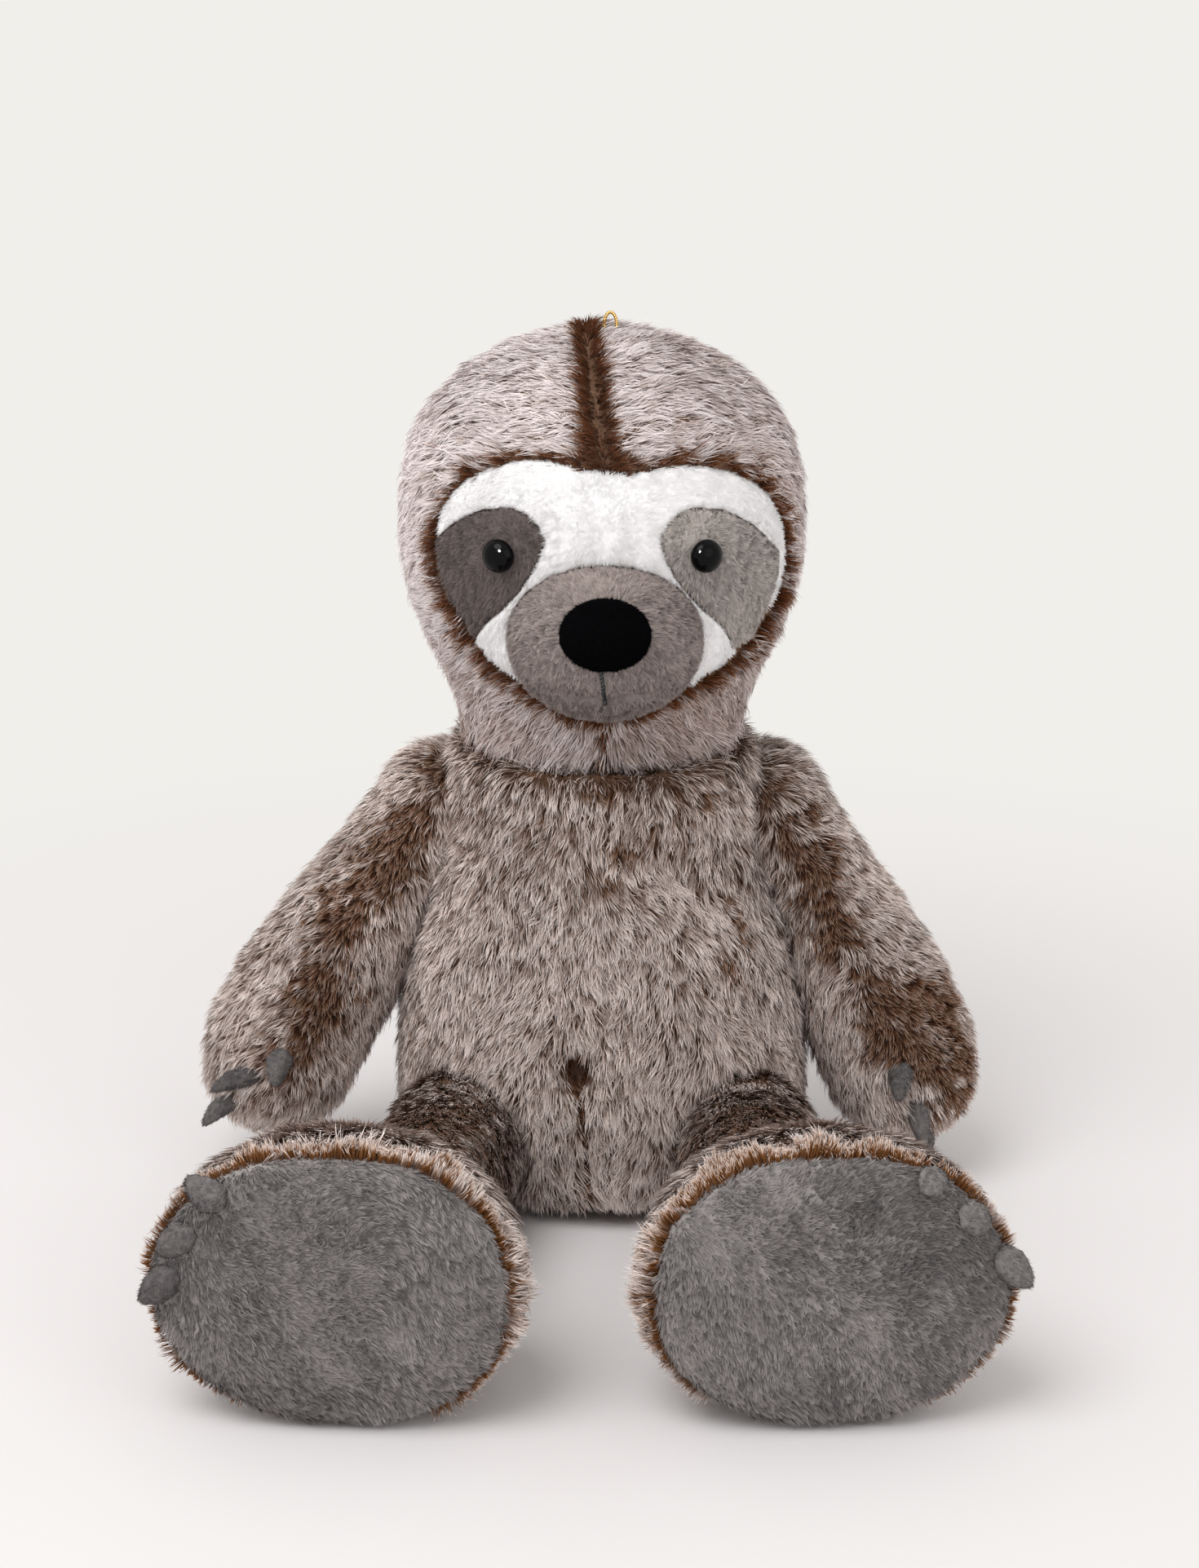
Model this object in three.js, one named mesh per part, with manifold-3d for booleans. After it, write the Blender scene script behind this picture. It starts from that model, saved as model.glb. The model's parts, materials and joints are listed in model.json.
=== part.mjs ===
// Seated plush sloth, built as its sewn pieces.
// Millimetres, +Z up. The toy faces -Y and sits on the plane z = 0 with its seat
// centred on the origin. Left and right are the toy's own: its left is at +X.

import * as THREE from 'three';
import { mergeVertices } from 'three/addons/utils/BufferGeometryUtils.js';
import Module from 'manifold-3d';

const wasm = await Module();
wasm.setup();

// Fabric and clearances
const furWall = 4; // backing and pile base of the long fur
const pileWall = 3; // backing of the short pile used for face, muzzle and soles
const seamGap = 0.3; // between two pieces sewn edge to edge
const fillGap = 0.4; // between a skin and the filling inside it
const seatGap = 0.7; // between a ball root and the seat that it turns in
const foldGap = 2.6; // depth of the fold where a limb leaves a larger piece
const flatDepth = 0.5; // how deep a soft form is cut flat where it meets the floor
const overrun = 20; // how far a cutting form reaches past what it cuts

// Torso
const torsoHeight = 192;
const torsoWidth = 156;
const torsoDepth = 130;
const torsoLean = 5; // how far the belly's centre lies in front of the seat's
const torsoSeatRound = 18; // height over which the seat rounds in
const torsoSeatFullness = 3; // how squarely it does
const torsoTopRound = 12;

// Neck
const neckBallRadius = 58; // the ball that the head's underside follows
const neckBallRise = 23; // from the torso's top to that ball's centre
const neckBallForward = 12;
const neckBandWall = 3;
const neckBandWidth = 94;
const neckBandDepth = 92;
const neckOpeningRadius = 17; // where a skin is open at the neck seam

// Head
const headHeight = 181;
const headSink = 44; // how far the head's lowest point lies below the torso's top
const headWidth = 149;
const headDepth = 128;
const headShift = 8; // how far the jaw sits in front of the crown
const headCrownRound = 50;
const headJawRound = 10;

// Face: widths and places across it are shares of the head's width
const faceWidthShare = 0.84;
const faceHeight = 91;
const faceOffset = 4;
const faceRise = 97; // from the head's lowest point, as the other rises are
const patchWidthShare = 0.29;
const patchHeight = 57;
const patchSpreadShare = 0.282; // from the middle line to the centre of an eye patch
const patchRise = 98;
const muzzleWidth = 70;
const muzzleHeight = 56;
const muzzleReach = 37;
const muzzleOffset = 1;
const muzzleForward = 60;
const muzzleRise = 78.5;
const noseWidth = 33;
const noseHeight = 26;
const noseThickness = 12;
const noseRise = 10; // above the muzzle's centre
const mouthThread = 1.5;
const mouthLength = 15;

// Eyes
const eyeDiameter = 12;
const eyeDome = 5;
const eyeRim = 1;
const eyeSpreadShare = 0.242;
const eyeRise = 109;
const shankDiameter = 4;
const shankLength = 13;
const shankRibs = 3;
const washerDiameter = 14;
const washerThickness = 1.6;
const washerGrip = 3; // pile and padding that the washer presses behind the backing

// Hanging loop
const loopWidth = 6;
const loopHeight = 11;
const loopThread = 1.4;
const loopOffset = 3;

// Arms
const shoulderSpread = 60;
const shoulderForward = 1;
const shoulderDrop = 46; // below the torso's top
const shoulderBall = 26;
const armHandRadius = 29;
const armDropLeft = 130; // from shoulder to fingertips, measured down
const armDropRight = 126;
const armSpreadLeft = 60; // from shoulder to hand, measured sideways
const armSpreadRight = 70;
const armForward = 12;
const armRoundRoot = 16;
const armRoundHand = 26;
const handClawBreadth = 10.5;
const handClawThickness = 8.5;

// Legs
const hipSpread = 54;
const hipForward = 54;
const hipHeight = 30;
const hipBall = 27;
const legRadius = 24.5;
const legRoundEnd = 14;
const legFold = 5; // the thigh lies back from the belly, so that the leg can lift
const ankleForward = 171;
const ankleHeight = 40;
const ankleBall = 23;

// Feet
const footWidth = 122;
const footHeight = 99;
const footBack = 162; // distance of the heel side in front of the seat's centre
const footFront = 225; // distance of the sole in front of the seat's centre
const footSpreadLeft = 74;
const footSpreadRight = 88;
const footHeelShift = 14; // how far the back of the foot lies inside its middle
const footRoundBack = 24;
const footRoundFront = 12;
const footFrontFullness = 2.4; // how squarely the rim turns into the sole
const footYaw = 4; // degrees that a sole faces outwards
const toeClawBreadth = 13;
const toeClawThickness = 10;

// Places that follow from those sizes
const neckBallHeight = torsoHeight + neckBallRise;
const shoulderHeight = torsoHeight - shoulderDrop;
const headBottom = torsoHeight - headSink;
const headTop = headBottom + headHeight;
const faceWidth = headWidth * faceWidthShare;
const faceLevel = headBottom + faceRise;
const patchWidth = headWidth * patchWidthShare;
const patchSpread = headWidth * patchSpreadShare;
const patchLevel = headBottom + patchRise;
const muzzleLevel = headBottom + muzzleRise;
const eyeSpread = headWidth * eyeSpreadShare;
const eyeLevel = headBottom + eyeRise;

// Faceting: steps round a form and along it
const headFacets = { sides: 30, rings: 16 };
const torsoFacets = { sides: 26, rings: 12 };
const headHiddenFacets = { sides: 18, rings: 10 };
const muzzleFacets = { sides: 20, rings: 10 };
const footFacets = { sides: 22, rings: 9 };
const limbFacets = { sides: 16, rings: 9 };
const hiddenFacets = { sides: 12, rings: 7 };
const limbHiddenFacets = { sides: 8, rings: 6 };
const clawFacets = { sides: 6, rings: 5 };
const neckBallFacets = { sides: 26, rings: 8 };
const rootBallFacets = { sides: 18, rings: 7 };
const roundSides = 12;
const faceSteps = 44;
const patchSteps = 22;
const soleSteps = 30;
const eyeDomeSteps = 5;
const mouthSteps = 5;
const loopFacets = { sides: 6, rings: 16 };

const materials = {
  fur: new THREE.MeshStandardMaterial({ color: 0x8f7b6f, roughness: 0.95, metalness: 0 }),
  filling: new THREE.MeshStandardMaterial({ color: 0xf2f1ec, roughness: 0.9, metalness: 0 }),
  white: new THREE.MeshStandardMaterial({ color: 0xf0efec, roughness: 0.9, metalness: 0 }),
  greyDark: new THREE.MeshStandardMaterial({ color: 0x625a56, roughness: 0.9, metalness: 0 }),
  grey: new THREE.MeshStandardMaterial({ color: 0x877d78, roughness: 0.9, metalness: 0 }),
  sole: new THREE.MeshStandardMaterial({ color: 0x787675, roughness: 0.9, metalness: 0 }),
  claw: new THREE.MeshStandardMaterial({ color: 0x696765, roughness: 0.85, metalness: 0 }),
  velvet: new THREE.MeshStandardMaterial({ color: 0x0c0e12, roughness: 0.9, metalness: 0 }),
  eye: new THREE.MeshStandardMaterial({ color: 0x050506, roughness: 0.08, metalness: 0 }),
  washer: new THREE.MeshStandardMaterial({ color: 0xe8e8e4, roughness: 0.5, metalness: 0 }),
  thread: new THREE.MeshStandardMaterial({ color: 0x101010, roughness: 0.8, metalness: 0 }),
  gold: new THREE.MeshStandardMaterial({ color: 0xdcbe6e, roughness: 0.35, metalness: 0.9 }),
};

const poleAxis = new THREE.Vector3(0, 1, 0);
const sideAxis = new THREE.Vector3(1, 0, 0);
const forwardAxis = new THREE.Vector3(0, -1, 0);
const upAxis = new THREE.Vector3(0, 0, 1);

// Turning geometry into solids and back

function solidFrom(geometry) {
  const bare = geometry.clone();
  bare.deleteAttribute('normal');
  bare.deleteAttribute('uv');
  const merged = mergeVertices(bare);
  return new wasm.Manifold(new wasm.Mesh({
    numProp: 3,
    vertProperties: Float32Array.from(merged.attributes.position.array),
    triVerts: Uint32Array.from(merged.index.array),
  }));
}

function meshFrom(name, solid, material) {
  const mesh = solid.getMesh();
  const geometry = new THREE.BufferGeometry();
  geometry.setAttribute('position', new THREE.BufferAttribute(mesh.vertProperties, mesh.numProp));
  geometry.setIndex(new THREE.BufferAttribute(mesh.triVerts, 1));
  geometry.computeVertexNormals();
  const made = new THREE.Mesh(geometry, material);
  made.name = name;
  return made;
}

// Swelling forms
// A unit sphere is drawn out along a spine. Its half widths and half depths follow
// tables of shares, and its two ends are rounded over the given lengths.

function valueAlong(table, share) {
  const stops = table.map((value, index) => new THREE.Vector2(index, value));
  return new THREE.SplineCurve(stops).getPoint(share).y;
}

function endRounding(distance, length, fullness) {
  const inset = 1 - Math.min(Math.max(distance / length, 0), 1);
  return Math.max(1 - inset ** fullness, 0) ** (1 / fullness);
}

function swellingForm(form, facets, grow = 0) {
  const spine = new THREE.CatmullRomCurve3(form.spine);
  const length = form.spine[0].distanceTo(form.spine.at(-1));
  const geometry = new THREE.SphereGeometry(1, facets.sides, facets.rings);
  const points = geometry.attributes.position;
  const out = new THREE.Vector3();
  for (let i = 0; i < points.count; i += 1) {
    const fromStart = (1 - points.getY(i)) / 2 * (length + 2 * grow);
    const fromEnd = (1 + points.getY(i)) / 2 * (length + 2 * grow);
    const along = fromStart - grow;
    const share = THREE.MathUtils.clamp(along / length, 0, 1);
    const heading = spine.getTangent(share);
    const facing = form.facing ?? heading;
    const across = form.across.clone().addScaledVector(facing, -form.across.dot(facing)).normalize();
    const upward = new THREE.Vector3().crossVectors(facing, across);
    const turn = Math.atan2(points.getZ(i), points.getX(i));
    const rounding = endRounding(fromStart, form.startRound + grow, form.startFullness ?? 2)
      * endRounding(fromEnd, form.endRound + grow, form.endFullness ?? 2);
    const wide = (valueAlong(form.wideShares, share) * form.width / 2 + grow) * rounding;
    const deep = (valueAlong(form.deepShares, share) * form.depth / 2 + grow) * rounding;
    out.copy(spine.getPoint(share))
      .addScaledVector(form.facing ?? heading, along - share * length)
      .addScaledVector(across, Math.cos(turn) * wide)
      .addScaledVector(upward, Math.sin(turn) * deep);
    points.setXYZ(i, out.x, out.y, out.z);
  }
  return solidFrom(geometry);
}

// A ball whose poles lie on the axis that it turns about, so that its facets clear its seat's.
function ball(centre, radius, axis, facets) {
  const turn = new THREE.Quaternion().setFromUnitVectors(poleAxis, axis);
  return solidFrom(new THREE.SphereGeometry(radius, facets.sides, facets.rings)
    .applyQuaternion(turn)
    .translate(centre.x, centre.y, centre.z));
}

function rod(from, to, radius, sides) {
  const length = from.distanceTo(to);
  const turn = new THREE.Quaternion()
    .setFromUnitVectors(poleAxis, to.clone().sub(from).normalize());
  const middle = from.clone().add(to).divideScalar(2);
  return solidFrom(new THREE.CylinderGeometry(radius, radius, length, sides)
    .applyQuaternion(turn)
    .translate(middle.x, middle.y, middle.z));
}

function slabBelow(height, reach) {
  return solidFrom(new THREE.BoxGeometry(reach, reach, reach).translate(0, 0, height - reach / 2));
}

// A closed outline through hand-chosen points, moved outwards by grow.
function outlineShape(points, grow, steps) {
  const curve = new THREE.CatmullRomCurve3(points.map((p) => new THREE.Vector3(p.x, p.y, 0)), true);
  const rim = [];
  for (let i = 0; i < steps; i += 1) {
    const at = curve.getPoint(i / steps);
    const heading = curve.getTangent(i / steps);
    rim.push(new THREE.Vector2(at.x + heading.y * grow, at.y - heading.x * grow));
  }
  return new THREE.Shape(rim);
}

// A cutting prism that runs from y = back to y = front, its outline seen from the front.
function forwardPrism(shape, back, front) {
  const geometry = new THREE.ExtrudeGeometry(shape, { depth: back - front, bevelEnabled: false });
  return solidFrom(geometry.rotateX(Math.PI / 2).translate(0, back, 0));
}

function placedOutline(shares, width, height, centre) {
  return shares.map(([x, z]) => new THREE.Vector2(centre.x + x * width / 2, centre.y + z * height / 2));
}

// Torso

const torsoWideShares = [0.95, 0.99, 1, 0.98, 0.93, 0.835, 0.76, 0.724, 0.673];
const torsoDeepShares = [0.97, 0.99, 1, 0.985, 0.945, 0.895, 0.86, 0.85, 0.8];
const torsoLeanShares = [1, 1, 1, 1.05, 1.2, 1.5, 1.8, 2.1, 2.4];

const torsoForm = {
  spine: torsoLeanShares.map((share, i) => new THREE.Vector3(
    0,
    -share * torsoLean,
    -flatDepth + i / (torsoLeanShares.length - 1) * (torsoHeight + flatDepth),
  )),
  facing: upAxis,
  across: sideAxis,
  width: torsoWidth,
  depth: torsoDepth,
  wideShares: torsoWideShares,
  deepShares: torsoDeepShares,
  startRound: torsoSeatRound,
  startFullness: torsoSeatFullness,
  endRound: torsoTopRound,
};

const neckBall = new THREE.Vector3(0, -neckBallForward, neckBallHeight);
const shoulder = new THREE.Vector3(shoulderSpread, -shoulderForward, shoulderHeight);
const hip = new THREE.Vector3(hipSpread, -hipForward, hipHeight);

function mirrored(point, side) {
  return new THREE.Vector3(point.x * side, point.y, point.z);
}

function torsoSolid(facets, grow) {
  const dish = neckBallRadius + neckBandWall + 2 * seatGap - grow;
  const dishFacets = grow === 0 ? neckBallFacets : facets;
  const seatFacets = grow === 0 ? rootBallFacets : facets;
  let solid = swellingForm(torsoForm, facets, grow).subtract(ball(neckBall, dish, upAxis, dishFacets));
  for (const side of [-1, 1]) {
    const shoulderSeat = shoulderBall + seatGap - grow;
    const hipSeat = hipBall + seatGap - grow;
    solid = solid
      .subtract(ball(mirrored(shoulder, side), shoulderSeat, forwardAxis, seatFacets))
      .subtract(ball(mirrored(hip, side), hipSeat, sideAxis, seatFacets));
  }
  return solid.subtract(slabBelow(-grow, 3 * torsoHeight));
}

function makeTorso() {
  const opening = rod(
    new THREE.Vector3(0, -neckBallForward, torsoHeight / 2),
    new THREE.Vector3(0, -neckBallForward, torsoHeight + overrun),
    neckOpeningRadius,
    roundSides,
  );
  const skin = torsoSolid(torsoFacets, 0)
    .subtract(torsoSolid(hiddenFacets, -furWall))
    .subtract(opening);
  const filling = torsoSolid(hiddenFacets, -furWall - fillGap);
  return [
    meshFrom('torso_skin', skin, materials.fur),
    meshFrom('torso_filling', filling, materials.filling),
  ];
}

// Neck band: the narrow strip of fur between the torso's dish and the head's ball

function makeNeckBand() {
  const outer = ball(neckBall, neckBallRadius + neckBandWall + seatGap, upAxis, neckBallFacets);
  const inner = ball(neckBall, neckBallRadius + seatGap, sideAxis, neckBallFacets);
  const rim = new THREE.CylinderGeometry(1, 1, 2 * torsoHeight, torsoFacets.sides)
    .rotateX(Math.PI / 2)
    .scale(neckBandWidth / 2, neckBandDepth / 2, 1)
    .translate(0, -neckBallForward, 0);
  return meshFrom('neck_band', outer.subtract(inner).intersect(solidFrom(rim)), materials.fur);
}

// Head

const headWideShares = [0.6, 0.65, 0.705, 0.86, 0.965, 1, 0.965, 0.94, 0.9];
const headDeepShares = [0.66, 0.72, 0.79, 0.91, 0.97, 1, 0.99, 0.95, 0.9];
const headShiftShares = [1, 1, 1, 0.75, 0.5, 0.25, 0, -0.25, -0.5];

const headForm = {
  spine: headShiftShares.map((share, i) => new THREE.Vector3(
    0,
    -share * headShift,
    headBottom + i / (headShiftShares.length - 1) * (headTop - headBottom),
  )),
  facing: upAxis,
  across: sideAxis,
  width: headWidth,
  depth: headDepth,
  wideShares: headWideShares,
  deepShares: headDeepShares,
  startRound: headJawRound,
  endRound: headCrownRound,
};

// The head's underside follows the neck ball, so that the head turns and nods on it.
function headSolid(facets, grow) {
  const below = slabBelow(neckBallHeight - neckBallRadius / 3, 3 * headWidth)
    .subtract(ball(neckBall, neckBallRadius + grow, sideAxis, neckBallFacets));
  return swellingForm(headForm, facets, grow).subtract(below);
}

const faceShares = [
  [-0.98, 0.55], [-0.83, 0.8], [-0.6, 0.96], [-0.38, 0.99], [-0.16, 0.93], [0.08, 0.9],
  [0.3, 0.95], [0.55, 0.92], [0.78, 0.78], [0.93, 0.56], [0.99, 0.28], [0.99, 0],
  [0.94, -0.2], [0.84, -0.4], [0.7, -0.6], [0.48, -0.78], [0.24, -0.92], [0, -0.98],
  [-0.26, -0.92], [-0.5, -0.78], [-0.68, -0.66], [-0.8, -0.44], [-0.92, -0.2], [-1, 0.05],
  [-1.01, 0.3],
];

// Right-hand patch as seen on the toy's left; the other one mirrors it.
const patchShares = [
  [-0.28, 0.94], [0.14, 0.86], [0.6, 0.6], [0.98, 0.25], [0.98, -0.05], [0.88, -0.32],
  [0.72, -0.62], [0.42, -0.88], [0.22, -0.9], [0.14, -0.66], [-0.2, -0.38], [-0.58, -0.06],
  [-0.84, 0.26], [-0.98, 0.52], [-0.92, 0.74], [-0.64, 0.92],
];

function facePrism(grow) {
  const centre = new THREE.Vector2(faceOffset, faceLevel);
  const outline = placedOutline(faceShares, faceWidth, faceHeight, centre);
  return forwardPrism(outlineShape(outline, -grow, faceSteps), -headShift, -headDepth);
}

function patchPrism(side, grow) {
  const centre = new THREE.Vector2(patchSpread * side, patchLevel);
  const shares = patchShares.map(([x, z]) => [x * side, z]);
  const outline = placedOutline(shares, patchWidth, patchHeight, centre);
  return forwardPrism(outlineShape(outline, -grow * side, patchSteps), -headShift, -headDepth);
}

function muzzleForm(facets, grow) {
  return solidFrom(new THREE.SphereGeometry(1, facets.sides, facets.rings)
    .rotateX(Math.PI / 2)
    .scale(muzzleWidth / 2 + grow, muzzleReach + grow, muzzleHeight / 2 + grow)
    .translate(muzzleOffset, -muzzleForward, muzzleLevel));
}

// Where a solid's front surface lies, seen from the front at (x, z)
function surfaceDistance(solid, x, z) {
  const probe = new THREE.BufferGeometry();
  const mesh = solid.getMesh();
  probe.setAttribute('position', new THREE.BufferAttribute(mesh.vertProperties, mesh.numProp));
  probe.setIndex(new THREE.BufferAttribute(mesh.triVerts, 1));
  const target = new THREE.Mesh(probe, new THREE.MeshBasicMaterial());
  const ray = new THREE.Raycaster(new THREE.Vector3(x, -2 * footFront, z), poleAxis);
  return ray.intersectObject(target)[0].point.y;
}

const headOuter = headSolid(headFacets, 0);
const headInner = headSolid(headHiddenFacets, -furWall);
const muzzleOuter = muzzleForm(muzzleFacets, 0);
const muzzleSeam = muzzleForm(muzzleFacets, seamGap);

// An eye lies flat on the head's surface, as it slopes between the eye's two sides.
function eyePlacement(side) {
  const radius = eyeDiameter / 2;
  const inner = surfaceDistance(headOuter, (eyeSpread - radius) * side, eyeLevel);
  const outer = surfaceDistance(headOuter, (eyeSpread + radius) * side, eyeLevel);
  const middle = surfaceDistance(headOuter, eyeSpread * side, eyeLevel);
  const seat = new THREE.Vector3(eyeSpread * side, Math.min(middle, (inner + outer) / 2), eyeLevel);
  seat.y -= seamGap;
  const slope = Math.atan2(outer - inner, eyeDiameter);
  return new THREE.Matrix4().makeRotationZ(slope * side).setPosition(seat);
}

// Profile of a safety eye: dome, rim and ribbed shank, turned about its own axis.
function eyeProfile() {
  const radius = eyeDiameter / 2;
  const profile = [];
  for (let i = 0; i <= eyeDomeSteps; i += 1) {
    const angle = i / eyeDomeSteps * Math.PI / 2;
    profile.push(new THREE.Vector2(radius * Math.sin(angle), eyeRim + eyeDome * Math.cos(angle)));
  }
  profile.push(new THREE.Vector2(radius, 0));
  profile.push(new THREE.Vector2(shankDiameter / 2, 0));
  const ribPitch = shankLength / (shankRibs + 1);
  const ribDepth = shankDiameter / 10;
  for (let i = 1; i <= shankRibs; i += 1) {
    profile.push(new THREE.Vector2(shankDiameter / 2 - ribDepth, -i * ribPitch + ribPitch / 4));
    profile.push(new THREE.Vector2(shankDiameter / 2, -i * ribPitch));
  }
  profile.push(new THREE.Vector2(shankDiameter / 3, -shankLength));
  profile.push(new THREE.Vector2(0, -shankLength));
  return profile.reverse();
}

function eyeCylinder(side, radius, from, to) {
  return solidFrom(new THREE.CylinderGeometry(radius, radius, to - from, roundSides)
    .translate(0, (from + to) / 2, 0)
    .rotateX(Math.PI)
    .applyMatrix4(eyePlacement(side)));
}

const shankHole = shankDiameter / 2 + seamGap;
const washerFrom = -furWall - washerGrip - washerThickness;

function makeEye(side, label) {
  const eye = solidFrom(new THREE.LatheGeometry(eyeProfile(), roundSides)
    .rotateX(Math.PI)
    .applyMatrix4(eyePlacement(side)));
  const washer = eyeCylinder(side, washerDiameter / 2, washerFrom, washerFrom + washerThickness)
    .subtract(eyeCylinder(side, shankHole, -overrun, overrun));
  return [
    meshFrom(`eye_${label}`, eye, materials.eye),
    meshFrom(`eye_washer_${label}`, washer, materials.washer),
  ];
}

function makePatch(side, label, material) {
  const patch = headOuter
    .subtract(headInner)
    .intersect(patchPrism(side, 0))
    .intersect(facePrism(0))
    .subtract(muzzleSeam)
    .subtract(eyeCylinder(side, shankHole, -overrun, overrun));
  return meshFrom(`eye_patch_${label}`, patch, material);
}

function makeHead() {
  const opening = rod(
    new THREE.Vector3(0, -neckBallForward, headBottom - overrun),
    new THREE.Vector3(0, -neckBallForward, headBottom + overrun),
    neckOpeningRadius,
    roundSides,
  );
  const shell = headOuter.subtract(headInner);
  const hood = shell
    .subtract(facePrism(seamGap))
    .subtract(muzzleSeam)
    .subtract(opening);
  const face = shell
    .intersect(facePrism(0))
    .subtract(patchPrism(-1, seamGap))
    .subtract(patchPrism(1, seamGap))
    .subtract(muzzleSeam);
  let filling = headSolid(headHiddenFacets, -furWall - fillGap)
    .add(muzzleForm(hiddenFacets, -pileWall - fillGap));
  for (const side of [-1, 1]) {
    filling = filling
      .subtract(eyeCylinder(side, shankHole, -overrun, overrun))
      .subtract(eyeCylinder(side, washerDiameter / 2 + seamGap, washerFrom - seamGap, overrun));
  }
  return [
    meshFrom('head_hood', hood, materials.fur),
    meshFrom('head_filling', filling, materials.filling),
    meshFrom('face_panel', face, materials.white),
  ];
}

function makeMuzzle() {
  const skin = muzzleOuter
    .subtract(muzzleForm(hiddenFacets, -pileWall))
    .subtract(headSolid(headHiddenFacets, seamGap - furWall));
  return meshFrom('muzzle', skin, materials.grey);
}

// Nose: a padded velvet oval that lies on the front of the muzzle
const noseCentre = new THREE.Vector3(
  muzzleOffset,
  -muzzleForward - muzzleReach * Math.sqrt(1 - (2 * noseRise / muzzleHeight) ** 2),
  muzzleLevel + noseRise,
);

function noseForm(grow) {
  return solidFrom(new THREE.SphereGeometry(1, limbFacets.sides, limbFacets.rings)
    .rotateX(Math.PI / 2)
    .scale(noseWidth / 2 + grow, noseThickness / 2 + grow, noseHeight / 2 + grow)
    .rotateX(-Math.asin(2 * noseRise / muzzleHeight) / 2)
    .translate(noseCentre.x, noseCentre.y, noseCentre.z));
}

function makeNose() {
  return meshFrom('nose', noseForm(0).subtract(muzzleSeam), materials.velvet);
}

// Mouth stitch: one thread laid down the muzzle from the nose
function makeMouthStitch() {
  const stops = [];
  const top = noseCentre.z - noseHeight / 2;
  for (let i = 0; i <= mouthSteps; i += 1) {
    const z = top - i / mouthSteps * mouthLength;
    const y = surfaceDistance(muzzleOuter, muzzleOffset, z);
    stops.push(new THREE.Vector3(muzzleOffset, y - mouthThread / 2, z));
  }
  const section = new THREE.Shape().absarc(0, 0, mouthThread / 2, 0, 2 * Math.PI);
  const thread = solidFrom(new THREE.ExtrudeGeometry(section, {
    extrudePath: new THREE.CatmullRomCurve3(stops),
    steps: mouthSteps,
    curveSegments: clawFacets.sides,
  }));
  const laid = thread.subtract(muzzleSeam).subtract(noseForm(seamGap));
  return meshFrom('mouth_stitch', laid, materials.thread);
}

// Gold loop that stands out of the crown seam
function makeHangLoop() {
  const radius = (loopWidth - loopThread) / 2;
  const ring = new THREE.TorusGeometry(radius, loopThread / 2, loopFacets.sides, loopFacets.rings)
    .rotateX(Math.PI / 2)
    .scale(1, 1, loopHeight / loopWidth)
    .translate(loopOffset, 0, headTop + loopHeight / 2 - furWall);
  return meshFrom('hang_loop', solidFrom(ring).subtract(headSolid(headFacets, seamGap)), materials.gold);
}

// Claws: short horns that taper along a curve

const clawTaperShares = [0.85, 1, 0.8, 0.34];

function clawSolid(root, tip, lift, across, breadth, thickness) {
  const bend = root.clone().lerp(tip, 0.5).add(lift);
  return swellingForm({
    spine: [root, bend, tip],
    across,
    width: breadth,
    depth: thickness,
    wideShares: clawTaperShares,
    deepShares: clawTaperShares,
    startRound: breadth / 2,
    endRound: breadth / 4,
  }, clawFacets);
}

// Arms

const armSpineShares = [
  { out: -0.04, down: -0.05, forward: 0 },
  { out: 0.3, down: 0.22, forward: 0.15 },
  { out: 0.65, down: 0.48, forward: 0.4 },
  { out: 0.92, down: 0.74, forward: 0.75 },
  { out: 1, down: 1, forward: 1 },
];
const armWideShares = [0.82, 0.85, 0.88, 0.95, 0.84];
const armDeepShares = [0.82, 0.87, 0.96, 1, 0.9];

function armForm(side) {
  const spread = side > 0 ? armSpreadLeft : armSpreadRight;
  const drop = side > 0 ? armDropLeft : armDropRight;
  return {
    spine: armSpineShares.map((share) => new THREE.Vector3(
      side * (shoulder.x + share.out * spread),
      shoulder.y - share.forward * armForward,
      shoulder.z - share.down * drop,
    )),
    across: new THREE.Vector3(0, 1, 0),
    width: 2 * armHandRadius,
    depth: 2 * armHandRadius,
    wideShares: armWideShares,
    deepShares: armDeepShares,
    startRound: armRoundRoot,
    endRound: armRoundHand,
  };
}

function armSolid(side, facets, grow) {
  const foldFacets = grow < 0 ? facets : torsoFacets;
  const rootFacets = grow < 0 ? facets : rootBallFacets;
  return swellingForm(armForm(side), facets, grow)
    .subtract(swellingForm(torsoForm, foldFacets, foldGap - grow))
    .add(ball(mirrored(shoulder, side), shoulderBall + grow, forwardAxis, rootFacets));
}

// Roots and tips of the three claws, in hand radii from the middle of the hand. The two
// hands hang turned differently.
const handClawShares = {
  right: [
    { root: [-0.08, -0.8, 0.2], tip: [-0.06, -1.5, -0.04] },
    { root: [0.15, -0.76, -0.12], tip: [0.88, -1.02, -0.28] },
    { root: [0.5, -0.55, -0.5], tip: [1.02, -0.85, -0.85] },
  ],
  left: [
    { root: [-0.02, -0.78, 0.12], tip: [-0.12, -1.4, -0.18] },
    { root: [0.12, -0.8, -0.3], tip: [0.3, -1.02, -1] },
    { root: [0.24, -0.46, -0.74], tip: [0.42, -0.6, -1.28] },
  ],
};

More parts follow.
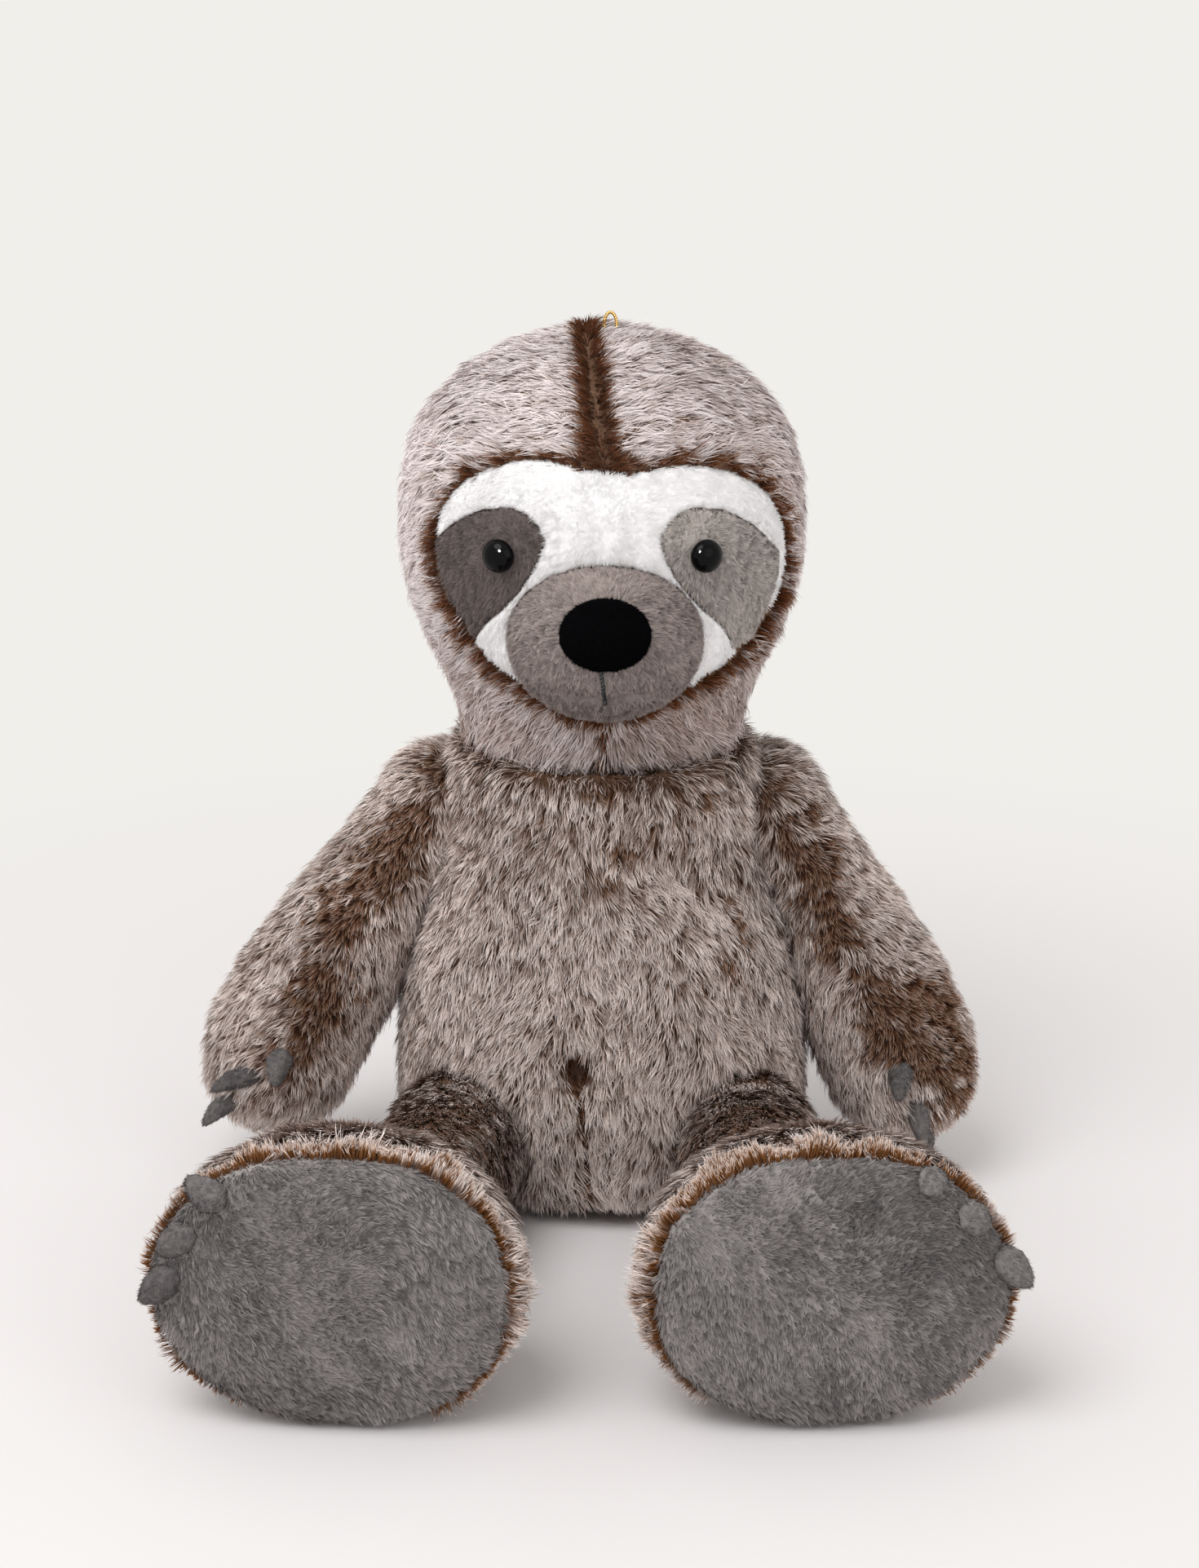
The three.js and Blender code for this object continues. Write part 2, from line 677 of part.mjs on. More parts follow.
function makeArm(side, label) {
  const inwards = new THREE.Vector3(-side * 2 * shoulderBall, 0, 0);
  const seam = rod(
    mirrored(shoulder, side),
    mirrored(shoulder, side).add(inwards),
    shoulderBall / 2,
    roundSides,
  );
  const skin = armSolid(side, limbFacets, 0)
    .subtract(armSolid(side, limbHiddenFacets, -furWall))
    .subtract(seam);
  const filling = armSolid(side, limbHiddenFacets, -furWall - fillGap);
  const hand = armForm(side).spine.at(-2);
  const held = armSolid(side, limbFacets, seamGap);
  const inHand = ([out, forward, up]) => new THREE.Vector3(side * out, forward, up)
    .multiplyScalar(armHandRadius)
    .add(hand);
  const lift = new THREE.Vector3(0, -handClawBreadth / 4, handClawBreadth / 4);
  const claws = handClawShares[label].map((share, i) => {
    const root = inHand(share.root);
    const tip = inHand(share.tip);
    const across = upAxis.clone().cross(tip.clone().sub(root));
    const horn = clawSolid(root, tip, lift, across, handClawBreadth, handClawThickness);
    return meshFrom(`hand_claw_${label}_${i + 1}`, horn.subtract(held), materials.claw);
  });
  return [
    meshFrom(`arm_${label}_skin`, skin, materials.fur),
    meshFrom(`arm_${label}_filling`, filling, materials.filling),
    ...claws,
  ];
}

// Feet

const footShiftShares = [0, 0.45, 0.85, 1];
const footLevelShares = [0.46, 0.48, 0.49, 0.495];
const footWideShares = [0.66, 0.86, 0.98, 1];
const footDeepShares = [0.72, 0.9, 1, 0.98];

function footFacing(side) {
  const yaw = THREE.MathUtils.degToRad(footYaw);
  return new THREE.Vector3(side * Math.sin(yaw), -Math.cos(yaw), 0);
}

function footSpread(side) {
  return side > 0 ? footSpreadLeft : footSpreadRight;
}

function ankleAt(side) {
  const heel = footSpread(side) - footHeelShift;
  return new THREE.Vector3(side * heel, -ankleForward, ankleHeight);
}

function footForm(side) {
  const heel = footSpread(side) - footHeelShift;
  return {
    spine: footShiftShares.map((share, i) => new THREE.Vector3(
      side * (heel + share * footHeelShift),
      -footBack - i / (footShiftShares.length - 1) * (footFront - footBack),
      footLevelShares[i] * footHeight,
    )),
    facing: footFacing(side),
    across: sideAxis,
    width: footWidth,
    depth: footHeight,
    wideShares: footWideShares,
    deepShares: footDeepShares,
    startRound: footRoundBack,
    endRound: footRoundFront,
    endFullness: footFrontFullness,
  };
}

function footSolid(side, facets, grow) {
  const seatFacets = grow === 0 ? rootBallFacets : facets;
  return swellingForm(footForm(side), facets, grow)
    .subtract(ball(ankleAt(side), ankleBall + seatGap - grow, sideAxis, seatFacets))
    .subtract(slabBelow(-grow, 3 * footFront));
}

// Seen from the front, in half widths and half heights of the foot.
const soleShares = [
  [-0.93, 0.1], [-0.84, 0.5], [-0.56, 0.83], [-0.14, 0.93], [0.3, 0.9], [0.66, 0.74],
  [0.9, 0.4], [0.95, 0.02], [0.88, -0.42], [0.62, -0.78], [0.22, -0.93], [-0.24, -0.94],
  [-0.64, -0.82], [-0.88, -0.4],
];

function solePrism(side, grow) {
  const centre = new THREE.Vector2(side * footSpread(side), footLevelShares.at(-1) * footHeight);
  const shares = soleShares.map(([x, z]) => [x * side, z]);
  const outline = placedOutline(shares, footWidth, footHeight, centre);
  return forwardPrism(
    outlineShape(outline, -grow * side, soleSteps),
    -footFront + footRoundFront + furWall,
    -footFront - overrun,
  );
}

// Roots and tips of the toe claws on the foot's outer rim, in the same half sizes.
const toeClawShares = {
  right: [
    { root: [0.52, 0.6], tip: [0.74, 0.8] },
    { root: [0.68, 0.46], tip: [0.91, 0.24] },
    { root: [0.78, 0.16], tip: [1.01, -0.1] },
  ],
  left: [
    { root: [0.42, 0.82], tip: [0.6, 0.69] },
    { root: [0.65, 0.61], tip: [0.82, 0.36] },
    { root: [0.85, 0.29], tip: [1.06, -0.02] },
  ],
};

function makeFoot(side, label) {
  const shell = footSolid(side, footFacets, 0).subtract(footSolid(side, hiddenFacets, -furWall));
  const upper = shell.subtract(solePrism(side, seamGap));
  const sole = shell.intersect(solePrism(side, 0));
  const filling = footSolid(side, hiddenFacets, -furWall - fillGap);
  const held = footSolid(side, footFacets, seamGap);
  const seenAt = ([out, up]) => new THREE.Vector3(
    side * (footSpread(side) + out * footWidth / 2),
    0,
    (footLevelShares.at(-1) + up / 2) * footHeight,
  );
  const lift = new THREE.Vector3(0, -toeClawThickness / 6, 0);
  const claws = toeClawShares[label].map((share, i) => {
    const root = seenAt(share.root);
    const tip = seenAt(share.tip);
    root.y = surfaceDistance(held, root.x, root.z) + toeClawThickness / 6;
    tip.y = root.y + toeClawThickness / 6;
    const across = poleAxis.clone().cross(tip.clone().sub(root));
    const horn = clawSolid(root, tip, lift, across, toeClawBreadth, toeClawThickness);
    return meshFrom(`toe_claw_${label}_${i + 1}`, horn.subtract(held), materials.claw);
  });
  return [
    meshFrom(`foot_${label}_upper`, upper, materials.fur),
    meshFrom(`foot_${label}_sole`, sole, materials.sole),
    meshFrom(`foot_${label}_filling`, filling, materials.filling),
    ...claws,
  ];
}

// Legs

const legWideShares = [1.04, 1.04, 0.98, 0.88, 0.8];

function legSolid(side, facets, grow) {
  const rootFacets = grow < 0 ? facets : rootBallFacets;
  const hipAt = mirrored(hip, side);
  const footAt = ankleAt(side);
  const form = {
    spine: [hipAt, hipAt.clone().lerp(footAt, 1 / 3), hipAt.clone().lerp(footAt, 2 / 3), footAt],
    across: sideAxis,
    width: 2 * legRadius,
    depth: 2 * legRadius,
    wideShares: legWideShares,
    deepShares: legWideShares,
    startRound: legRoundEnd,
    endRound: legRoundEnd,
  };
  return swellingForm(form, facets, grow)
    .subtract(swellingForm(torsoForm, grow < 0 ? facets : torsoFacets, legFold - grow))
    .subtract(swellingForm(footForm(side), grow < 0 ? facets : footFacets, foldGap - grow))
    .add(ball(hipAt, hipBall + grow, sideAxis, rootFacets))
    .add(ball(footAt, ankleBall + grow, sideAxis, rootFacets));
}

function makeLeg(side, label) {
  const inwards = new THREE.Vector3(0, 2 * hipBall, 0);
  const seam = rod(mirrored(hip, side), mirrored(hip, side).add(inwards), hipBall / 2, roundSides);
  const skin = legSolid(side, limbFacets, 0)
    .subtract(legSolid(side, limbHiddenFacets, -furWall))
    .subtract(seam);
  const filling = legSolid(side, limbHiddenFacets, -furWall - fillGap);
  return [
    meshFrom(`leg_${label}_skin`, skin, materials.fur),
    meshFrom(`leg_${label}_filling`, filling, materials.filling),
  ];
}

// The whole toy

const sloth = new THREE.Group();
sloth.add(...makeTorso(), makeNeckBand(), ...makeHead());
sloth.add(makePatch(-1, 'right', materials.greyDark), makePatch(1, 'left', materials.grey));
sloth.add(...makeEye(-1, 'right'), ...makeEye(1, 'left'));
sloth.add(makeMuzzle(), makeNose(), makeMouthStitch(), makeHangLoop());
for (const [side, label] of [[-1, 'right'], [1, 'left']]) {
  sloth.add(...makeArm(side, label), ...makeLeg(side, label), ...makeFoot(side, label));
}

export default sloth;
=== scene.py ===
# Plush sloth, dressed in fur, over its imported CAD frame.
import json
import math
import bmesh
import bpy
import numpy as np
from mathutils import Matrix, Vector
from mathutils.bvhtree import BVHTree


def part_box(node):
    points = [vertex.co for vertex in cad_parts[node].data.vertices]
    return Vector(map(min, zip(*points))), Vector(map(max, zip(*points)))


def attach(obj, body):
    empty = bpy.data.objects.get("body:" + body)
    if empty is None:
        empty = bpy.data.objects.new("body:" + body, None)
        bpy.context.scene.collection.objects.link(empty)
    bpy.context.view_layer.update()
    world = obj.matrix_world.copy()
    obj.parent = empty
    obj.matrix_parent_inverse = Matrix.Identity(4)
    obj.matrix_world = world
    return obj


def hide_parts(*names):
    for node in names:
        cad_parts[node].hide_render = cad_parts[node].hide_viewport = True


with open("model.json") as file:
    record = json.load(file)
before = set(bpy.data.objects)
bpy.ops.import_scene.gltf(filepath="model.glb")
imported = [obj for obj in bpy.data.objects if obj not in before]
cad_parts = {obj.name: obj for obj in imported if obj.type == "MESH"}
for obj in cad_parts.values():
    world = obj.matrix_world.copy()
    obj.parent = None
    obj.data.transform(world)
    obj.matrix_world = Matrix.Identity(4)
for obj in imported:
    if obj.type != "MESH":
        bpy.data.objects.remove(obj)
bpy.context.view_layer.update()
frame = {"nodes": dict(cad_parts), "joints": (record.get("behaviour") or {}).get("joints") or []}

mm = 0.001
print("frame loaded")

# Shared helpers

# sRGB 0 to 255 as a linear colour
def paint(red, green, blue):
    linear = [(c / 255 / 12.92) if c <= 10 else ((c / 255 + 0.055) / 1.055) ** 2.4 for c in (red, green, blue)]
    return (*linear, 1.0)


def newObject(name, mesh):
    piece = bpy.data.objects.new(name, mesh)
    bpy.context.scene.collection.objects.link(piece)
    return piece


def newPiece(name, bm, material, smooth=True):
    mesh = bpy.data.meshes.new(name)
    bm.to_mesh(mesh)
    bm.free()
    mesh.shade_smooth() if smooth else mesh.shade_flat()
    mesh.materials.append(material)
    return newObject(name, mesh)


def applyModifiers(piece):
    depsgraph = bpy.context.evaluated_depsgraph_get()
    mesh = bpy.data.meshes.new_from_object(piece.evaluated_get(depsgraph))
    piece.modifiers.clear()
    piece.data = mesh
    mesh.shade_smooth()


def readVectors(items, label):
    values = np.empty(len(items) * 3, np.float32)
    items.foreach_get(label, values)
    return values.reshape(-1, 3).astype(np.float64)


# Everything that numpy works on is in mm, and Blender's own values are in metres
def readPoints(mesh):
    return readVectors(mesh.vertices, "co") / mm


def readNormals(mesh):
    return readVectors(mesh.vertex_normals, "vector")


def writePoints(mesh, points):
    mesh.vertices.foreach_set("co", (points * mm).astype(np.float32).ravel())
    mesh.update()


def unit(v):
    return v / np.maximum(np.linalg.norm(v, axis=-1, keepdims=True), 1e-12)


def smoothstep(low, high, x):
    t = np.clip((x - low) / (high - low), 0, 1)
    return t * t * (3 - 2 * t)


# Smooth noise, about -1 to 1, whose lumps are about size across
def waves(points, size, seed, layers=7):
    rng = np.random.default_rng(seed)
    total = np.zeros(len(points))
    for _ in range(layers):
        way = unit(rng.normal(size=3)) * (2 * math.pi / size) * rng.uniform(0.6, 1.5)
        total += np.sin(points @ way + rng.uniform(0, 2 * math.pi))
    return total / math.sqrt(layers / 2) / 1.6


# Distance in the XZ plane to a polyline, and how far along it the nearest point is
def distanceToLine(x, z, line):
    best = np.full(len(x), 1e9)
    along = np.zeros(len(x))
    steps = len(line) - 1
    for i in range(steps):
        (ax, az), (bx, bz) = line[i], line[i + 1]
        dx, dz = bx - ax, bz - az
        t = np.clip(((x - ax) * dx + (z - az) * dz) / (dx * dx + dz * dz), 0, 1)
        d = np.hypot(x - ax - t * dx, z - az - t * dz)
        nearer = d < best
        best = np.where(nearer, d, best)
        along = np.where(nearer, (i + t) / steps, along)
    return best, along


# 1 where x is 0, and less the further x is from it
def bell(x, width):
    return np.exp(-(x / width) ** 2)


# X of a line at each height z. The line is given from its top down, in X and Z
def lineAt(line, z):
    return np.interp(z, [p[1] for p in line[::-1]], [p[0] for p in line[::-1]])


# Sum of soft spots, each given as X, Z, reach in X, reach in Z and strength
def spotsAt(x, z, spots):
    total = np.zeros(len(x))
    for spotX, spotZ, wide, high, much in spots:
        total += much * bell(x - spotX, wide) * bell(z - spotZ, high)
    return total


# Closed outline of CAD nodes in X and Z: the furthest point in each narrow wedge round a centre, less an inset
def outlineOf(nodes, centre, steps, narrow, inset):
    centre = np.array(centre)
    points = np.concatenate([readPoints(frame["nodes"][node].data)[:, [0, 2]] for node in nodes]) - centre
    reach = np.linalg.norm(points, axis=1)
    rim = []
    for step in range(steps):
        angle = step / steps * 2 * math.pi
        way = np.array([math.cos(angle), math.sin(angle)])
        inWedge = reach[points @ way > narrow * reach]
        if len(inWedge):
            rim.append(tuple(centre + way * (inWedge.max() - inset)))
    return rim + rim[:1]


# True inside a closed outline, by counting crossings
def insideRim(x, z, outline):
    inside = np.zeros(len(x), bool)
    for (ax, az), (bx, bz) in zip(outline[:-1], outline[1:]):
        if az != bz:
            inside ^= ((az > z) != (bz > z)) & (x < (bx - ax) * (z - az) / (bz - az) + ax)
    return inside


# Directions from their three parts, each a number or one value for each point
def ways(x, y, z):
    return np.stack(np.broadcast_arrays(x, y, z), axis=1).astype(float)


def treeOf(piece):
    return BVHTree.FromPolygons([v.co.copy() for v in piece.data.vertices],
                                [tuple(f.vertices) for f in piece.data.polygons])


# New shader node with its settings
def addNode(nodes, kind, **settings):
    node = nodes.new("ShaderNode" + kind)
    for label, value in settings.items():
        setattr(node, label, value)
    return node


def setInputs(node, values):
    for label, value in values.items():
        node.inputs[label].default_value = value


def newMaterial(name):
    material = bpy.data.materials.new(name)
    material.use_nodes = True
    nodes, links = material.node_tree.nodes, material.node_tree.links
    return material, nodes, links, nodes["Principled BSDF"]


def mixShaders(nodes, links, factor, first, second, target):
    mix = addNode(nodes, "MixShader")
    links.new(factor, mix.inputs["Fac"])
    wire(links, (first, 0, mix, 1), (second, 0, mix, 2), (mix, 0, target, "Surface"))


# Links, each given as node, output, node and input
def wire(links, *rows):
    for source, out, target, into in rows:
        links.new(source.outputs[out], target.inputs[into])


# Camera, floor and light

view = {
    "place": (-0.001, -1.0547, 0.4676),
    "tilt": 73.5,
    "lens": 65.8,
    "sensor": 36,
    "lightsAim": (0, -0.06, 0.14),
    "skyColour": (1.0, 0.985, 0.97, 1),
    "skyLevel": 0.77,
    "floorHalf": 12,
    "floorColour": paint(230, 227, 227),
    "floorFade": (0.22, 0.62),  # metres from the toy's middle
    "backColour": paint(241, 239, 235),
}
lights = {
    "keyLight": {"place": (-0.6, -0.8, 1.6), "size": 1.2, "power": 16.5},
    "fillLight": {"place": (0.9, -1.2, 0.7), "size": 1.2, "power": 2.5},
    "catchLight": {"place": (-0.34, -1.0, 0.8), "size": 0.3, "power": 40.0},
}


# 1 for rays that show the backdrop to the camera, straight or by way of gloss or glass
def seenDirectly(nodes, links):
    path = addNode(nodes, "LightPath")
    total = path.outputs["Is Camera Ray"]
    for label in ("Is Glossy Ray", "Is Transmission Ray"):
        add = addNode(nodes, "Math", operation="ADD", use_clamp=True)
        links.new(total, add.inputs[0])
        links.new(path.outputs[label], add.inputs[1])
        total = add.outputs[0]
    return total


# Near the toy the floor takes its shadow, and further out it turns into plain backdrop
def floorMaterial():
    material, nodes, links, near = newMaterial("paleFloor")
    setInputs(near, {"Base Color": view["floorColour"], "Roughness": 0.9, "Specular IOR Level": 0.1})
    far = addNode(nodes, "Emission")
    setInputs(far, {"Color": view["backColour"]})
    coords = addNode(nodes, "TexCoord")
    length = addNode(nodes, "VectorMath", operation="LENGTH")
    fade = addNode(nodes, "MapRange", interpolation_type="SMOOTHSTEP")
    setInputs(fade, {"From Min": view["floorFade"][0], "From Max": view["floorFade"][1]})
    both = addNode(nodes, "Math", operation="MULTIPLY")
    wire(links, (coords, "Object", length, 0), (length, "Value", fade, "Value"), (fade, "Result", both, 0))
    links.new(seenDirectly(nodes, links), both.inputs[1])
    mixShaders(nodes, links, both.outputs[0], near, far, nodes["Material Output"])
    return material


def makeStage():
    scene = bpy.context.scene
    scene.view_settings.view_transform = "Standard"
    lensData = bpy.data.cameras.new("camera")
    lensData.lens = view["lens"]
    lensData.sensor_width = view["sensor"]
    lensData.clip_start = 0.01
    lensData.clip_end = 100
    camera = newObject("camera", lensData)
    camera.location = view["place"]
    camera.rotation_euler = (math.radians(view["tilt"]), 0, 0)
    scene.camera = camera

    world = bpy.data.worlds.new("studio")
    world.use_nodes = True
    nodes, links = world.node_tree.nodes, world.node_tree.links
    soft = nodes["Background"]
    setInputs(soft, {"Color": view["skyColour"], "Strength": view["skyLevel"]})
    seen = addNode(nodes, "Background")
    setInputs(seen, {"Color": view["backColour"]})
    mixShaders(nodes, links, seenDirectly(nodes, links), soft, seen, nodes["World Output"])
    scene.world = world

    for name, lamp in lights.items():
        lightData = bpy.data.lights.new(name, "AREA")
        lightData.shape = "DISK"
        lightData.size = lamp["size"]
        lightData.energy = lamp["power"]
        light = newObject(name, lightData)
        light.location = lamp["place"]
        aim = Vector(view["lightsAim"]) - Vector(lamp["place"])
        light.rotation_euler = aim.to_track_quat("-Z", "Y").to_euler()
        light.visible_diffuse = name != "catchLight"  # the catch light only glints in the eyes

    bm = bmesh.new()
    bmesh.ops.create_grid(bm, x_segments=4, y_segments=4, size=view["floorHalf"])
    floor = newPiece("floor", bm, floorMaterial(), smooth=False)


makeStage()
print("stage set")

# Materials

# Node group: soft light and dark patches with fine grain, for every pile and backing
def makeMottle():
    group = bpy.data.node_groups.new("pileMottle", "ShaderNodeTree")
    face = group.interface
    face.new_socket("Patch Size", in_out="INPUT", socket_type="NodeSocketFloat")
    face.new_socket("Grain Size", in_out="INPUT", socket_type="NodeSocketFloat")
    face.new_socket("Patches", in_out="OUTPUT", socket_type="NodeSocketFloat")
    face.new_socket("Grain", in_out="OUTPUT", socket_type="NodeSocketFloat")
    nodes, links = group.nodes, group.links
    entry = nodes.new("NodeGroupInput")
    leave = nodes.new("NodeGroupOutput")
    coords = nodes.new("ShaderNodeTexCoord")
    for socket, detail, out in (("Patch Size", 3, "Patches"), ("Grain Size", 4, "Grain")):
        noise = nodes.new("ShaderNodeTexNoise")
        noise.inputs["Detail"].default_value = detail
        wire(links, (coords, "Object", noise, "Vector"), (entry, socket, noise, "Scale"), (noise, "Fac", leave, out))
    return group


pileMottle = makeMottle()


def mottleNode(nodes, patchSize, grainSize):
    node = nodes.new("ShaderNodeGroup")
    node.node_tree = pileMottle
    node.inputs["Patch Size"].default_value = patchSize
    node.inputs["Grain Size"].default_value = grainSize
    return node


def ramp(nodes, stops):
    node = nodes.new("ShaderNodeValToRGB")
    elements = node.color_ramp.elements
    while len(elements) < len(stops):
        elements.new(0.5)
    for element, (place, colour) in zip(elements, stops):
        element.position = place
        element.color = colour
    return node


def mixColour(nodes, links, factor, first, second, blend="MIX"):
    node = addNode(nodes, "Mix", data_type="RGBA", blend_type=blend)
    node.inputs["Factor"].default_value = 1
    if factor:
        links.new(factor, node.inputs["Factor"])
    links.new(first, node.inputs["A"])
    links.new(second, node.inputs["B"])
    return node.outputs["Result"]


def attribute(nodes, name):
    return addNode(nodes, "Attribute", attribute_type="GEOMETRY", attribute_name=name).outputs["Fac"]


def addRelief(nodes, links, shader, mottle, strength, depth):
    relief = addNode(nodes, "Bump")
    setInputs(relief, {"Strength": strength, "Distance": depth * mm})
    wire(links, (mottle, "Grain", relief, "Height"), (relief, "Normal", shader, "Normal"))


clothLook = {
    "specular": 0.06,
    "strandRoughness": 0.8,
    "strandGrain": 400,
    "strandShade": {"From Min": 0.3, "From Max": 0.7, "To Min": 0.86, "To Max": 1.08},
    "backingRoughness": 0.95,
    "backingPatch": 25,
    "backingGrain": 500,
    "grainShare": 0.4,  # of the backing's tone, and the rest is patches
    "relief": 0.6,
}


# Fur strands: colour runs from root to tip, and each strand has its own tone and share of brown
def strandMaterial(name, plain, dark, rust, patchSize=22):
    material, nodes, links, shader = newMaterial(name)
    setInputs(shader, {"Roughness": clothLook["strandRoughness"], "Specular IOR Level": clothLook["specular"]})
    along = attribute(nodes, "along")
    colours = []
    for stops in (plain, dark, rust):
        node = ramp(nodes, stops)
        links.new(along, node.inputs["Fac"])
        colours.append(node.outputs["Color"])
    colour = mixColour(nodes, links, attribute(nodes, "tone"), colours[0], colours[1])
    colour = mixColour(nodes, links, attribute(nodes, "seam"), colour, colours[2])
    mottle = mottleNode(nodes, patchSize, clothLook["strandGrain"])
    shade = addNode(nodes, "MapRange")
    setInputs(shade, clothLook["strandShade"])
    links.new(mottle.outputs["Patches"], shade.inputs["Value"])
    colour = mixColour(nodes, links, None, colour, shade.outputs["Result"], "MULTIPLY")
    links.new(colour, shader.inputs["Base Color"])
    return material


# Cloth under a pile
def backingMaterial(name, low, high, bump=0.5):
    material, nodes, links, shader = newMaterial(name)
    setInputs(shader, {"Roughness": clothLook["backingRoughness"], "Specular IOR Level": clothLook["specular"]})
    mottle = mottleNode(nodes, clothLook["backingPatch"], clothLook["backingGrain"])
    blend = addNode(nodes, "Mix")
    blend.inputs["Factor"].default_value = clothLook["grainShare"]
    tone = ramp(nodes, [(0.35, low), (0.65, high)])
    wire(links, (mottle, "Patches", blend, "A"), (mottle, "Grain", blend, "B"), (blend, "Result", tone, "Fac"),
         (tone, "Color", shader, "Base Color"))
    addRelief(nodes, links, shader, mottle, bump, clothLook["relief"])
    return material


# Stops of a ramp, each given as its place and its red, green and blue
def stopsOf(*rows):
    return [(place, paint(*colour)) for place, *colour in rows]


# From root to tip
furColours = {
    "plain": stopsOf((0, 92, 68, 54), (0.3, 156, 132, 119), (0.56, 232, 216, 208), (1, 254, 246, 243)),
    "dark": stopsOf((0, 50, 30, 18), (0.5, 98, 72, 56), (1, 180, 158, 146)),
    "rust": stopsOf((0, 34, 17, 7), (0.44, 78, 44, 22), (0.74, 138, 104, 82), (1, 214, 192, 181)),
    "crown": stopsOf((0, 164, 144, 136), (0.25, 208, 194, 189), (0.6, 238, 228, 227), (1, 250, 243, 243)),
    "crownDark": stopsOf((0, 112, 88, 76), (0.5, 166, 144, 135), (1, 216, 200, 195)),
    "parted": stopsOf((0, 42, 20, 6), (0.5, 88, 48, 23), (0.8, 128, 90, 66), (1, 206, 182, 170)),
    "rim": stopsOf((0, 58, 30, 10), (0.46, 118, 74, 36), (0.64, 196, 168, 150), (1, 250, 241, 237)),
}
longFur = strandMaterial("longFur", furColours["plain"], furColours["dark"], furColours["rust"])
crownFur = strandMaterial("crownFur", furColours["crown"], furColours["crownDark"], furColours["parted"])
rimFur = strandMaterial("rimFur", furColours["plain"], furColours["dark"], furColours["rim"])
furBacking = backingMaterial("furBacking", paint(76, 52, 36), paint(116, 88, 70))


# Root, middle and tip of a short pile. depth is how bright its root is, as a share of the middle
def pileColours(colour, depth):
    return stopsOf((0, *(c * depth for c in colour)), (0.6, *colour), (1, *(min(c * 1.1, 255) for c in colour)))


# darker is how bright its dark strands are, as a share of the others
def shortPile(name, red, green, blue, depth, darker=0.66):
    plain = pileColours((red, green, blue), depth)
    dark = pileColours((red * darker, green * darker, blue * darker), depth)
    strands = strandMaterial(name + "Pile", plain, dark, dark, patchSize=30)
    backing = backingMaterial(name + "Backing", plain[0][1], plain[1][1], bump=0.6)
    return strands, backing


whitePile, whiteBacking = shortPile("white", 246, 245, 245, 0.99, darker=0.99)
patchDarkPile, patchDarkBacking = shortPile("patchDark", 118, 107, 104, 0.6)
patchPile, patchBacking = shortPile("patchLight", 192, 183, 177, 0.6)
muzzlePile, muzzleBacking = shortPile("muzzle", 166, 153, 148, 0.6)
solePile, soleBacking = shortPile("sole", 162, 156, 154, 0.6)
clawPile, clawBacking = shortPile("claw", 124, 119, 118, 0.5)
paleClawPile, paleClawBacking = shortPile("paleClaw", 152, 147, 145, 0.5)
velvetPile, velvetBacking = shortPile("velvet", 4, 4, 6, 0.4)
print("fabrics mixed")


# Plastic and thread, with a fine grain
def plainMaterial(name, colour, roughness, metallic=0.0, grain=300.0, bump=0.2):
    material, nodes, links, shader = newMaterial(name)
    setInputs(shader, {"Metallic": metallic})
    mottle = mottleNode(nodes, grain / 4, grain)
    darker = tuple(c * 0.75 for c in colour[:3]) + (1,)
    tone = ramp(nodes, [(0.3, darker), (0.7, colour)])
    rough = addNode(nodes, "MapRange")
    setInputs(rough, {"To Min": roughness * 0.8, "To Max": min(roughness * 1.2, 1)})
    wire(links, (mottle, "Grain", tone, "Fac"), (tone, "Color", shader, "Base Color"),
         (mottle, "Patches", rough, "Value"), (rough, "Result", shader, "Roughness"))
    if bump:
        addRelief(nodes, links, shader, mottle, bump, 0.2)
    return material


eyeGloss = plainMaterial("eyeGloss", paint(9, 8, 9), 0.05, bump=0)
goldThread = plainMaterial("goldThread", paint(196, 158, 92), 0.45, metallic=0.6, grain=1500)
blackThread = plainMaterial("blackThread", paint(12, 11, 12), 0.9, grain=2500)
washerPlastic = plainMaterial("washerPlastic", paint(228, 228, 224), 0.5)
for material, specular in ((velvetPile, 0.015), (velvetBacking, 0.015), (eyeGloss, 0.11)):
    setInputs(material.node_tree.nodes["Principled BSDF"], {"Specular IOR Level": specular})
sides = ("left", "right")
for side in sides:
    washer = frame["nodes"]["eye_washer_" + side]
    washer.data.materials.clear()
    washer.data.materials.append(washerPlastic)

# Stuffed forms

padShape = {
    "voxel": 4.5,
    "pressure": 4.0,
    "frames": 20,
    "quickShare": 0.6,  # of the swelling, when no cloth is run
    "holdFade": 8,  # from held to free
    "floorFade": 6,
}


# Blows the pad up with cloth pressure, lets no point move further than cap, and holds it where it is seated
def swell(piece, cap, hold):
    scene = bpy.context.scene
    rest = readPoints(piece.data)
    cloth = piece.modifiers.new("stuffing", "CLOTH")
    cloth.settings.use_pressure = True
    cloth.settings.uniform_pressure_force = padShape["pressure"]
    cloth.settings.effector_weights.gravity = 0
    cloth.collision_settings.use_collision = False
    for step in range(1, padShape["frames"] + 1):
        scene.frame_set(step)
    swollen = piece.evaluated_get(bpy.context.evaluated_depsgraph_get()).to_mesh()
    shift = readPoints(swollen) - rest
    piece.modifiers.clear()
    scene.frame_set(1)
    length = np.linalg.norm(shift, axis=1, keepdims=True)
    shift *= np.minimum(1, cap / np.maximum(length, 1e-9))
    free = np.ones(len(rest))
    for centre, radius in hold:
        reach = np.linalg.norm(rest - np.array(centre), axis=1)
        free *= smoothstep(radius, radius + padShape["holdFade"], reach)
    free *= smoothstep(0, padShape["floorFade"], rest[:, 2])
    writePoints(piece.data, rest + shift * free[:, None])


